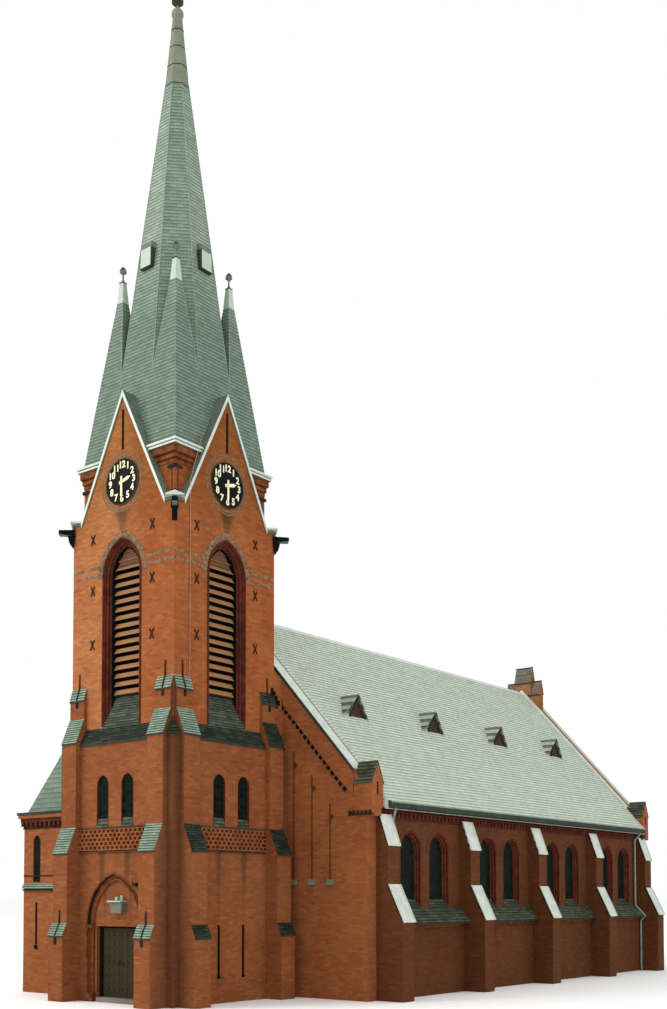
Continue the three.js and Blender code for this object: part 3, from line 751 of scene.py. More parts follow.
class CHURCH_OT_finishes(bpy.types.Operator):
    """Makes the finishes and gives them to the solids"""

    bl_idname = "church.finishes"
    bl_label = "Finishes"

    def execute(self, context):
        c = context.scene.church_colours
        self.masonry(tuple(c.brick), tuple(c.brick_dark), tuple(c.mortar))
        self.roofing(tuple(c.slate), tuple(c.pale_slate))
        self.metal(tuple(c.zinc))
        FINISHES.update({
            "louvre": timber("louvre boards", tuple(c.louvre), darker(c.louvre, 0.7), "X", boards_from=10.0),
            # Darker boards for the heads of the belfry openings: painted shade under the arches.
            "head_boards": timber("head boards", (0.16, 0.07, 0.03), (0.08, 0.035, 0.018), "X"),
            "oak": timber("door oak", tuple(c.oak), darker(c.oak, 0.4), roughness=0.75),
            # Dark red-brown wood for the vent frames, and painted shadow inside the vents.
            "dark_wood": timber("vent boards", (0.050, 0.022, 0.014), (0.014, 0.008, 0.006), "Y"),
            "dial": enamel("dial black", (0.006, 0.007, 0.008), 0.45),
            "cream": enamel("cream paint", (0.90, 0.85, 0.56)),
            "lamp": enamel("lamp housing", (0.17, 0.185, 0.14)),
            "glass": leaded_glass(
                "leaded glass", (0.007, 0.011, 0.009), (0.003, 0.005, 0.004), (0.015, 0.019, 0.015)
            ),
        })
        for name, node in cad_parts.items():
            finish = next(finish for start, finish in SOLID_FINISHES if name.startswith(start))
            node.data.materials.clear()
            node.data.materials.append(FINISHES[finish])
        return {"FINISHED"}

    @staticmethod
    def masonry(brick, dark, mortar):
        tower = times(brick, 0.95, 1.14, 1.22)
        tints = (("X", -0.6, 1.4, (0.78, 0.62, 0.5)), ("Z", 15.2, 17.0, (0.78, 0.80, 0.68)))
        FINISHES.update({
            "brick": brickwork(
                "tower brick", tower, dark, mortar, drips=(15.95, 15.0, 0.36, 0.0), tints=tints
            ),
            # A darker copy of the brick for the tower's lower stage and the portal's tympanum: painted shade.
            "shaded_base_brick": brickwork(
                "base brick", darker(brick, 0.62), darker(dark, 0.6), darker(mortar, 0.6), 0.45,
                drips=(5.55, 2.4, 0.2, 0.6), corners=True,
            ),
            "band_brick": brickwork("gable band brick", darker(brick, 0.72), darker(dark, 0.7), mortar, 0.4),
            "nave_brick": brickwork(
                "nave brick", darker(brick, 0.72), darker(dark, 0.72), darker(mortar, 0.72), 0.5
            ),
            # A much darker copy of the brick for the nave's sides, its buttresses, window hoods and the
            # gable's blind strips: painted shade.
            "shaded_side_brick": brickwork(
                "nave side brick", times(brick, 0.27, 0.26, 0.24), darker(dark, 0.3), darker(mortar, 0.3), 0.5
            ),
            "turret_brick": brickwork("turret brick", (0.33, 0.165, 0.085), darker(dark, 0.8), mortar, 0.5),
            "moulded": moulded_brick("moulded brick", darker(brick, 0.5), darker(dark, 0.42)),
            "red_brick": moulded_brick("dark red brick", (0.13, 0.028, 0.014), (0.06, 0.014, 0.008)),
            # Near-black brick, used both for sooty pieces and for painted shade in slits, soffits and under
            # the cornices.
            "dark_brick": moulded_brick("sooty brick and painted shade", (0.040, 0.026, 0.016), (0.014, 0.011, 0.008)),
            "grey_brick": moulded_brick("grey brick", (0.30, 0.18, 0.10), (0.10, 0.075, 0.045), 9.0),
            "ring_brick": moulded_brick("clock ring brick", (0.24, 0.18, 0.10), (0.12, 0.10, 0.06), 9.0),
            "lattice_dark": moulded_brick("lattice hollows", (0.075, 0.028, 0.017), (0.030, 0.014, 0.010)),
            "lattice": moulded_brick("lattice brick", darker(brick, 0.66), darker(dark, 0.8)),
            "floor": paving("floor flags", (0.22, 0.20, 0.17), (0.14, 0.125, 0.10)),
        })

    @staticmethod
    def roofing(slate, pale):
        spire = times(slate, 1.82, 1.7, 1.8), darker(slate, 1.3), times(slate, 2.4, 2.15, 2.25)
        shaded = (0.030, 0.040, 0.028), (0.012, 0.017, 0.012), (0.09, 0.11, 0.08)
        sill = (0.078, 0.095, 0.062), (0.036, 0.044, 0.030), (0.17, 0.20, 0.15)
        turret = (0.21, 0.19, 0.14), (0.11, 0.10, 0.075), (0.29, 0.27, 0.21)
        for key, name, shades, settings in (
            ("slate", "spire slates", spire, {"worn": 0.4, "bands": 0.3, "low_tone": (0.62, 0.67, 0.66)}),
            # A darker copy of the spire slates for the spire's diagonal faces: painted shade.
            ("shaded_corner_slate", "spire corner slates", tones(slate, 1.4, 1.05, 1.8),
             {"worn": 0.4, "bands": 0.3, "low_tone": (0.80, 0.86, 0.84)}),
            ("shaded_slate", "shaded slates", shaded, {"bands": 0.6}),
            ("slate_solid", "spire slate backing", tones(slate, 1, 0.6, 1), {"by_map": False}),
            ("cap_slate", "cap slates", tones(slate, 1.6, 0.95, 2.5), {"bands": 0.8}),
            ("sill_slate", "sill slates", sill, {"bands": 0.6}),
            ("turret_slate", "turret slates", turret, {"bands": 0.3}),
            ("annex_slate", "annex slates", tones(slate, 1.15, 0.85, 1.45), {"bands": 0.2}),
            ("nave_slate", "nave slates", tones(pale, 1.2, 1.0, 1.38), {"worn": 0.4, "bands": 0.34}),
            ("vent_slate", "vent slates", tones(pale, 0.85, 0.6, 1.05), {"bands": 0.8}),
            ("nave_slate_solid", "nave slate backing", tones(pale, 1, 0.6, 1), {"by_map": False}),
        ):
            FINISHES[key] = slating(name, *shades, **settings)

    @staticmethod
    def metal(zinc):
        for key, name, colour, dark, *shine in (
            ("zinc", "zinc", zinc, darker(zinc, 0.75), 0.5),
            ("lead", "lead", (0.26, 0.33, 0.27), (0.16, 0.21, 0.17)),
            ("tip_sheet", "spire tip sheet", (0.20, 0.23, 0.165), (0.125, 0.15, 0.10), 0.7, 0.0),
            ("hatch", "hatch lid", (0.46, 0.54, 0.46), (0.36, 0.43, 0.36), 0.6, 0.0),
            # A darker copy of the zinc for the sloping tops of the copings: painted shade.
            ("flank", "coping flank", (0.15, 0.185, 0.15), (0.085, 0.11, 0.09)),
            ("dark_lead", "dark lead", (0.036, 0.044, 0.034), (0.014, 0.018, 0.014), 0.7, 0.0),
            ("copper", "copper rod", (0.42, 0.22, 0.15), (0.26, 0.12, 0.08)),
        ):
            FINISHES[key] = sheet_metal(name, colour, dark, *shine)
        FINISHES["iron"] = ironwork("wall iron", (0.020, 0.014, 0.010))
        # Black for the spouts, and painted shade in slits, behind the louvres and between the gable's
        # dentils.
        FINISHES["black"] = ironwork("soot black and painted shade", (0.004, 0.004, 0.004), 0.9)


class CHURCH_OT_belfry_openings(bpy.types.Operator):
    """Mouldings, hoods, sills and bands round the belfry openings"""

    bl_idname = "church.belfry_openings"
    bl_label = "Belfry openings"

    def execute(self, context):
        reveal = [
            (0.002, 0.0), (-0.02, 0.0), (-0.05, -0.015), (-0.06, -0.05), (-0.045, -0.075),
            (-0.085, -0.085), (-0.125, -0.10), (-0.13, -0.135), (-0.105, -0.16), (-0.16, -0.17),
            (-0.163, -0.2), (0.002, -0.2),
        ]
        inner = [(-0.165, -0.2), (-0.18, -0.2), (-0.20, -0.22), (-0.195, -0.25), (-0.165, -0.26)]
        pieces = [arch(section, SOUND, -BELFRY) for section in (reveal, circle(0.0, 0.015, 0.035, 8), inner)]
        on_tower(pieces, "belfry_mouldings", "red_brick", THREE_SIDES, 40)
        # Black screens and linings inside the belfry openings: painted shade behind the louvres.
        screen = prism([(-0.75, 9.4), (0.75, 9.4), (0.75, 15.0), (-0.75, 15.0)], "Y", -1.83, -1.81)
        lining = [(-0.002, -0.205), (-0.052, -0.205), (-0.052, -0.57), (-0.002, -0.57)]
        jambs = arch(lining, (0.72, 9.6, SOUND[2], 1.0), -BELFRY)
        on_tower([screen, jambs], "bell_shade_screens", "black", THREE_SIDES)
        # Darker boards filling the head of each opening: painted shade under the arch.
        head = [(-0.50, 14.25), (0.50, 14.25), (0.30, 14.58), (0.0, 14.86), (-0.30, 14.58)]
        on_tower([prism(head, "Y", -2.10, -2.06)], "bell_heads", "head_boards", THREE_SIDES)
        hood = [(0.07, -0.01), (0.07, 0.006), (0.26, 0.006), (0.26, -0.01)]
        rings = [shift(part_voussoirs(arch(hood, SOUND, steps=15, head_only=True)), y=-BELFRY)]
        for z in (13.944, 14.208):
            for piece in both_sides(block((SOUND[0] + 0.03, 2.39), (-0.006, 0.01), (z, z + 0.10), 0.003)):
                rings.append(shift(piece, y=-BELFRY))
        on_tower(rings, "belfry_bands", "grey_brick", THREE_SIDES)
        foot, head = (-BELFRY - 0.035, 8.885), (-2.005, 9.975)
        sills = [
            courses(-0.72, 0.72, foot, head, 0.1, 0.02),
            courses(-0.88, 0.88, foot, (-BELFRY + 0.19, foot[1] + 0.225 * 2.534), 0.1, 0.02),
        ]
        on_tower(sills, "belfry_sills", "sill_slate", THREE_SIDES)
        return {"FINISHED"}


class CHURCH_OT_clock_faces(bpy.types.Operator):
    """Dials with rings of grey brick and numerals"""

    bl_idname = "church.clock_faces"
    bl_label = "Clock faces"

    def execute(self, context):
        front = -BELFRY - 0.032
        deselect()
        bpy.ops.mesh.primitive_cylinder_add(
            vertices=64, radius=0.748, depth=0.034, location=(0, front + 0.017, DIAL_Z),
            rotation=(math.radians(90), 0, 0),
        )
        on_tower([apply_place()], "clock_plates", "dial", FOUR_SIDES, 30)
        rings = []
        for inner, outer in ((0.845, 0.88), (0.95, 0.99)):
            rings.append(shift(part_voussoirs(self.ring(inner, outer, 0.006, 48), 0.004, 0.004), y=-BELFRY))
        on_tower(rings, "clock_rings", "ring_brick", FOUR_SIDES)
        rim = shift(self.ring(0.738, 0.762, 0.04, 64), y=-BELFRY)
        on_tower([rim], "clock_rims", "dark_lead", FOUR_SIDES)
        numerals = []
        for hour in range(1, 13):
            angle = math.tau * hour / 12
            place = (0.555 * math.sin(angle), front - 0.001, DIAL_Z + 0.555 * math.cos(angle))
            numerals.append(self.numeral(str(hour), place, 0.31))
        on_tower(numerals, "clock_numerals", "cream", FOUR_SIDES)
        return {"FINISHED"}

    @staticmethod
    def ring(inner, outer, proud, steps):
        piece = loop([(inner, 0.01), (outer, 0.01), (outer, -proud), (inner, -proud)], "Z", 0.0)
        edit(piece)
        bpy.ops.mesh.spin(steps=steps, angle=math.tau, center=(0, 0, 0), axis=(0, -1, 0))
        return shift(close(piece, merge=True), z=DIAL_Z)

    @staticmethod
    def numeral(text, place, size):
        """Raised figures, upright, facing -Y."""
        deselect()
        bpy.ops.object.text_add(location=place, rotation=(math.radians(90), 0, 0))
        figure = bpy.context.object.data
        figure.body = text
        figure.size = size
        figure.extrude = 0.003
        figure.offset = 0.011
        figure.resolution_u = 4
        figure.align_x = "CENTER"
        figure.align_y = "CENTER"
        bpy.ops.object.convert(target="MESH")
        return apply_place()


class CHURCH_OT_wall_anchors(bpy.types.Operator):
    """Crossed iron wall anchors on the belfry"""

    bl_idname = "church.wall_anchors"
    bl_label = "Wall anchors"

    def execute(self, context):
        arm = context.scene.church_sizes.anchor / 2
        pieces = []
        for z in (11.712, 13.512, 15.24):
            for lean in (-30, 30):
                bar = block((-0.022, 0.022), (-0.03, 0.01), (-arm, arm), 0.006)
                select_faces(bar, lambda face: abs(face.normal.z) > 0.9)
                bpy.ops.transform.resize(value=(2.0, 1, 1))
                leave()
                bar.data.transform(Matrix.Rotation(math.radians(lean), 4, "Y"))
                pieces += both_sides(shift(bar, 1.409, -BELFRY, z))
        on_tower(pieces, "wall_anchors", "iron", FOUR_SIDES)
        x, low, high = -1.728, -BASE - 0.02, -BELFRY - 0.02
        wire = [
            rod((x, high, 9.0), (x, high, 16.6), 0.016, 6),
            rod((x, high, 16.6), (-1.0, -2.25, 18.4), 0.016, 6),
            rod((x, low, 2.2), (x, low, SHOULDER), 0.012, 6),
        ]
        on_tower(wire, "lightning_rod", "copper", (1,))
        return {"FINISHED"}


# Tops and feet of the slopes on the corner buttresses, as distance off the axis and height
BUTTRESS_SLOPES = (
    ((2.400, 10.306), (2.510, 9.936)), ((2.510, 9.264), (2.837, 8.472)),
    ((2.837, 5.640), (3.175, 4.829)), ((3.175, 2.530), (3.346, 2.153)),
)


class CHURCH_OT_tower_buttresses(bpy.types.Operator):
    """Slated caps and slits on the tower's corner buttresses"""

    bl_idname = "church.tower_buttresses"
    bl_label = "Tower buttresses"

    def execute(self, context):
        x0, x1 = CORNER_BUTTRESS
        pale, shaded, drips = [], [], []
        for level, ((top, top_z), (low, low_z)) in enumerate(BUTTRESS_SLOPES):
            slope = courses(x0 - 0.015, x1 + 0.015, (-low, low_z), (-top, top_z), 0.088, 0.022, 0.035)
            for cap in both_sides(slope):
                facing_nave = copy(cap, turn(1))
                at_front = facing_nave.data.vertices[0].co.y < 0
                (pale if at_front and level < 2 else shaded).append(facing_nave)
                pale += [copy(cap, turn(3)), cap]
            # Dark strips under the foot of each cap: painted shadow of its overhang.
            under = (low_z - 0.075, low_z - 0.035)
            drips += both_sides(block((x0 - 0.01, x1 + 0.01), (-low - 0.035, -low + 0.02), under))
        on_tower(pale, "tower_buttress_caps", "cap_slate")
        on_tower(shaded, "tower_shaded_caps", "shaded_slate")
        on_tower(drips, "tower_buttress_drip_shadows", "dark_lead", THREE_SIDES)
        self.slits("low", BUTTRESS_SLOPES[3], 0.42, 0.12, (0, 3))
        self.slits("high", BUTTRESS_SLOPES[0], 0.5, 0.1, THREE_SIDES)
        return {"FINISHED"}

    @staticmethod
    def slits(level, slope, rise, drop, quarters):
        (top, top_z), (low, low_z) = slope
        middle = sum(CORNER_BUTTRESS) / 2
        slit = [
            (-top - 0.012, top_z + rise), (-top - 0.03, top_z),
            (-low - 0.035, low_z), (-low - 0.012, low_z - drop),
            (-low + 0.01, low_z - drop), (-low + 0.01, low_z),
            (-top + 0.01, top_z), (-top + 0.01, top_z + rise),
        ]
        foot = [
            (-low - 0.05, low_z - drop), (-low, low_z - drop + 0.06),
            (-low + 0.01, low_z - drop - 0.2), (-low - 0.03, low_z - drop - 0.16),
        ]
        # Dark slits and drops on the buttresses: painted shade in the slits.
        slits = []
        for points, half in ((slit, 0.033), (foot, 0.045)):
            slits += both_sides(prism(points, "X", middle - half, middle + half))
        on_tower(slits, "tower_slits_" + level, "dark_brick", quarters)


class CHURCH_OT_set_off(bpy.types.Operator):
    """Slated set-off where the belfry narrows"""

    bl_idname = "church.set_off"
    bl_label = "Set-off"

    def execute(self, context):
        half = 1.675
        foot, head = (-BASE - 0.01, SHOULDER), (-BELFRY - 0.005, BASE_TOP)
        slope = courses(-half, half, foot, head, 0.085, 0.018, 0.035)
        on_tower([slope], "set_off_slates", "shaded_slate", THREE_SIDES)
        drip = block((-half, half), (-BASE - 0.05, -BASE + 0.01), (SHOULDER - 0.085, SHOULDER - 0.03))
        on_tower([drip], "set_off_drip", "dark_lead", THREE_SIDES)
        corner = courses(-0.2, 0.2, (-3.74, SHOULDER + 0.01), (-3.39, 8.97), 0.12, 0.02, 0.03)
        for side in (-1, 1):
            cut(corner, (0, -3.385, 0), (side, 0.5, 0))
        on_tower([turned(corner, 0.5)], "corner_slates", "shaded_slate", (0, 1))
        return {"FINISHED"}


class CHURCH_OT_lower_stage(bpy.types.Operator):
    """Lancet reveals, sills and the pierced brick bands of the lower stage"""

    bl_idname = "church.lower_stage"
    bl_label = "Lower stage"

    def execute(self, context):
        front, low, high = -BASE, 4.90, 5.56
        self.lattice(front, low, high, context.scene.church_sizes.lattice_rows)
        sills, edges, panes, strips = [], [], [], []
        for z0, z1 in ((high + 0.03, high + 0.085), (low - 0.075, low - 0.03)):
            string = courses(*BETWEEN_BUTTRESSES, (front - 0.05, z0), (front + 0.02, z1), 0.1, 0.012, 0.01)
            sills.append(string)
        edge = [(0.003, 0.004), (-0.016, 0.004), (-0.02, -0.06), (0.003, -0.06)]
        light = pointed(0.274, 5.90, 7.0, 0.316)
        foot = [(front - 0.03, 0.84), (front + 0.1, 0.96), (front + 0.1, 0.80), (front, 0.78)]
        for x in (-LANCET_X, LANCET_X):
            sill = courses(x - 0.27, x + 0.27, (front - 0.02, 5.64), (front + 0.08, 5.97), 0.12, 0.012, 0.02)
            sills.append(sill)
            edges.append(shift(arch(edge, LANCET, front), x))
            panes.append(shift(prism(light, "Y", front + 0.055, front + 0.075), x))
            # Black fills in the wall slits and their feet: painted shade in the openings.
            strips.append(block((x - 0.058, x + 0.058), (front + 0.012, front + 0.196), (0.86, 2.47)))
            strips.append(prism(foot, "X", x - 0.07, x + 0.07))
        on_tower(sills, "lancet_sills", "sill_slate", (0, 1))
        on_tower(edges, "lancet_edges", "red_brick", (0, 1), 40)
        on_tower(panes, "lancet_panes", "glass", (0, 1))
        on_tower(strips, "wall_slits", "black", (1,))
        return {"FINISHED"}

    @staticmethod
    def lattice(front, low, high, rows):
        back = block(BETWEEN_BUTTRESSES, (front - 0.008, front + 0.01), (low - 0.05, high + 0.06))
        on_tower([back], "lattice_shadow", "lattice_dark", (0, 1))
        pitch, row = 0.21, (high - low) / rows
        depth = (front - 0.045, front)
        bars = []
        for i in range(rows + 1):
            z = low + i * row
            bars.append(block(BETWEEN_BUTTRESSES, depth, (z - 0.022, z + 0.022), 0.004))
        for i in range(rows):
            start = -1.63 + (pitch / 2 if i % 2 else 0.0)
            z = low + i * row
            post = block((start - 0.04, start + 0.04), depth, (z + 0.02, z + row - 0.02), 0.004)
            bars.append(array(post, 16 if i % 2 == 0 else 15, (pitch, 0, 0)))
        on_tower(bars, "lattice_bands", "lattice", (0, 1))


class CHURCH_OT_portal(bpy.types.Operator):
    """Moulded arch, shafts and lamp of the entrance"""

    bl_idname = "church.portal"
    bl_label = "Portal"

    def execute(self, context):
        front = -BASE
        rounds = circle(-0.012, 0.0, 0.03, 8), circle(-0.20, -0.115, 0.05, 10)
        mouldings = [arch(section, PORTAL, front, 16) for section in rounds]
        on_tower(mouldings, "portal_mouldings", "moulded", (0,), 40)
        # Dark lining under the outer arch: dirt together with painted shade on its soffit.
        soffit = [(0.002, -0.03), (-0.012, -0.03), (-0.012, -0.148), (0.002, -0.148)]
        head = (PORTAL[0], 2.5, PORTAL[2], PORTAL[3])
        on_tower([arch(soffit, head, front, 16)], "portal_soffits", "dark_brick", (0,), 40)
        field = prism(pointed(0.984, 2.44, 2.52, 1.284, 16), "Y", front + 0.152, front + 0.332)
        on_tower([field], "portal_tympanum", "shaded_base_brick")
        imposts = []
        for x0, x1, out, z0, z1, bevel in (
            (1.03, 1.36, 0.02, 2.38, 2.43, 0.006),
            (1.03, 1.36, 0.04, 2.43, 2.49, 0.006),
            (1.02, 1.35, 0.02, 0.02, 0.28, 0.01),
        ):
            imposts += both_sides(block((x0, x1), (front - out, front + 0.14), (z0, z1), bevel))
        on_tower(imposts, "portal_imposts", "moulded")
        # Black frame in the gaps round the door and under its lintel: painted shadow.
        depth = (front + 0.27, front + 0.338)
        dark = both_sides(block((0.865, 0.978), depth, (0.02, 2.40), 0.004))
        dark.append(block((-0.978, 0.978), depth, (2.38, 2.50), 0.004))
        on_tower(dark, "portal_frame", "black")
        self.lamp(front)
        return {"FINISHED"}

    @staticmethod
    def lamp(front):
        back, middle = front + 0.2, 0.105
        body = loop([(-0.13, front - 0.03), (0.34, front - 0.03), (0.34, back), (-0.13, back)], "Z", 2.86)
        edit(body)
        for rise, top, wider, deeper in ((0.12, 2.98, 1.10, 1.0), (0.24, 3.22, 1.12, 1.12)):
            extrude((0, 0, rise))
            bpy.ops.transform.resize(value=(wider, deeper, 1), center_override=(middle, back, top))
        on_tower([ease(close(body), 0.012, 2)], "portal_lamp", "lamp")
        plate = [
            block((-0.22, 0.43), (front - 0.13, front + 0.16), (3.22, 3.265), 0.008),
            block((0.02, 0.12), (front, front + 0.16), (3.265, 3.38), 0.015),
            rod((0.30, front + 0.05, 3.26), (0.30, front + 0.05, 3.43), 0.04),
        ]
        on_tower(plate, "portal_lamp_plate", "hatch")
        fitting = [
            block((0.92, 1.10), (front - 0.11, front + 0.02), (3.71, 3.82), 0.02),
            rod((0.92, front - 0.05, 3.78), (0.80, front + 0.02, 3.86), 0.02, 8),
        ]
        on_tower(fitting, "portal_fitting", "iron")


class CHURCH_OT_doors(bpy.types.Operator):
    """Panels, straps and rings of the double door"""

    bl_idname = "church.doors"
    bl_label = "Doors"

    def execute(self, context):
        self.leaf("door_leaf_left", 0.09)
        self.leaf("door_leaf_right", -0.09)
        return {"FINISHED"}

    def leaf(self, body, ring_in):
        """Dresses a leaf, with its ring a distance in from the edge where the leaves meet."""
        low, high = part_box(body)
        face, rim = -2.3, 0.025
        rows, columns = 7, 3
        across = (high.x - low.x - 0.10) / columns
        rise = (high.z - low.z - 0.16) / rows
        panels = []
        for row in range(rows):
            for column in range(columns):
                x = low.x + 0.05 + column * across
                z = 0.158 + 0.08 + row * rise
                panels.append(self.panel((x + rim, x + across - rim), (z + rim, z + rise - rim), face))
        settle(panels, body + "_panels", "oak", 0, body)
        iron = []
        for z in (0.42, 1.30, 2.14):
            up = (z - 0.022, z + 0.022)
            iron.append(block((low.x + 0.03, high.x - 0.06), (face - 0.016, face + 0.002), up, 0.004))
        x = (high.x if ring_in > 0 else low.x) - ring_in
        deselect()
        bpy.ops.mesh.primitive_torus_add(
            location=(x, face - 0.03, 1.24), rotation=(math.radians(90), 0, 0),
            major_radius=0.05, minor_radius=0.009, major_segments=20, minor_segments=6,
        )
        iron.append(apply_place())
        iron.append(block((x - 0.035, x + 0.035), (face - 0.022, face + 0.002), (1.20, 1.36), 0.006))
        settle(iron, body + "_iron", "iron", 0, body)

    @staticmethod
    def panel(across, up, face):
        piece = block(across, (face - 0.012, face + 0.002), up)
        select_faces(piece, faces_front)
        bpy.ops.mesh.inset(thickness=0.02, depth=-0.008)
        bpy.ops.mesh.inset(thickness=0.03, depth=0.014)
        leave()
        return piece


def corner_bars(rows, bevel, deep=0.1):
    """Bars along both faces of a corner of the tower, each (start, reach, foot, top)."""
    bars = []
    for start, out, low, high in rows:
        bars.append(block((start, out), (-out, deep - out), (low, high), bevel))
        bars.append(block((out - deep, out), (deep - out, -start), (low, high), bevel))
    return bars


class CHURCH_OT_gable_work(bpy.types.Operator):
    """Spouts, foot caps, eaves gutters and niches between the gables"""

    bl_idname = "church.gable_work"
    bl_label = "Gable corners"

    def execute(self, context):
        for name, finish, slot, bevel, deep, rows in (
            ("eaves_gutters", "zinc", "zinc", 0.008, 0.1,
             ((1.06, 2.34, 17.70, 17.765), (1.06, 2.37, 17.795, 17.865))),
            ("eaves_shadows", "red_brick", "brick", 0.004, 0.1,
             ((1.1, 2.31, 17.68, 17.79), (1.1, 2.225, 17.43, 17.465), (1.1, 2.185, 17.26, 17.285))),
            ("corner_niche_caps", "dark_brick", "brick", 0.008, 0.08,
             ((1.86, 2.215, 16.98, 17.06), (1.92, 2.205, 17.06, 17.09), (1.98, 2.20, 16.20, 16.27))),
            ("eaves_mouldings", "moulded", "brick", 0.012, 0.1,
             ((1.1, 2.275, 17.47, 17.66), (1.1, 2.22, 17.29, 17.42), (1.1, 2.18, 17.14, 17.25))),
        ):
            on_tower(corner_bars(rows, bevel, deep), name, finish, FOUR_SIDES)
        niche = (16.30, 16.98)
        grooves = [block((2.01, 2.055), (-2.166, -2.15), niche), block((2.15, 2.166), (-2.055, -2.01), niche)]
        on_tower(grooves, "corner_niches", "red_brick", FOUR_SIDES)
        self.copings()
        self.spouts()
        return {"FINISHED"}

    @staticmethod
    def copings():
        # The sloping tops of the tower's copings take the darker zinc of painted shade.
        line = [(1.98, 15.985), (1.13, 17.685), (1.145, 17.692), (1.995, 15.992)]
        flanks = both_sides(prism(line, "Y", -BELFRY + 0.005, -2.155))
        on_tower(flanks, "coping_flanks", "flank", FOUR_SIDES)
        apex, x = GABLE_APEX + 0.004, 1.99
        edge = [(0, apex), (x, apex - 2 * x), (x, apex - 2 * x - 0.2), (0, apex - 0.2)]
        edges = both_sides(prism(edge, "Y", -BELFRY - 0.046, -BELFRY - 0.03))
        on_tower(edges, "coping_edges", "zinc", FOUR_SIDES)
        # The slits are black: painted shade in the openings.
        for name, finish, half, proud, up in (
            ("gable_slits", "black", 0.05, 0.004, (17.97, 19.3)),
            ("gable_slit_feet", "brick", 0.045, 0.002, (17.57, 17.97)),
        ):
            slit = block((-half, half), (-BELFRY - proud, -BELFRY + 0.06), up)
            on_tower([slit], name, finish, FOUR_SIDES)

    @staticmethod
    def spouts():
        section = [
            (-0.12, 15.545), (0.12, 15.545), (0.12, 15.72), (0.09, 15.76), (-0.09, 15.76), (-0.12, 15.72),
        ]
        beam = prism(section, "Y", -3.90, -3.36)
        select_faces(beam, faces_front)
        bpy.ops.transform.resize(value=(0.75, 1, 0.6), center_override=(0, -3.90, 15.72))
        leave()
        bracket = prism([(-3.60, 15.54), (-3.55, 15.34), (-3.42, 15.14), (-3.33, 15.54)], "X", -0.085, 0.085)
        on_tower([turned(beam, 0.5), turned(bracket, 0.5)], "spouts", "black", FOUR_SIDES)
        cap = [(-0.30, 15.94), (0.30, 15.94), (0.30, 15.97), (0, 16.09), (-0.30, 15.97)]
        roof = prism(cap, "Y", -3.50, -3.0)
        on_tower([turned(roof, 0.5)], "gable_foot_caps", "zinc", FOUR_SIDES)


def octagon_face(z):
    return SPIRE_PITCH * (SPIRE_APEX - z)


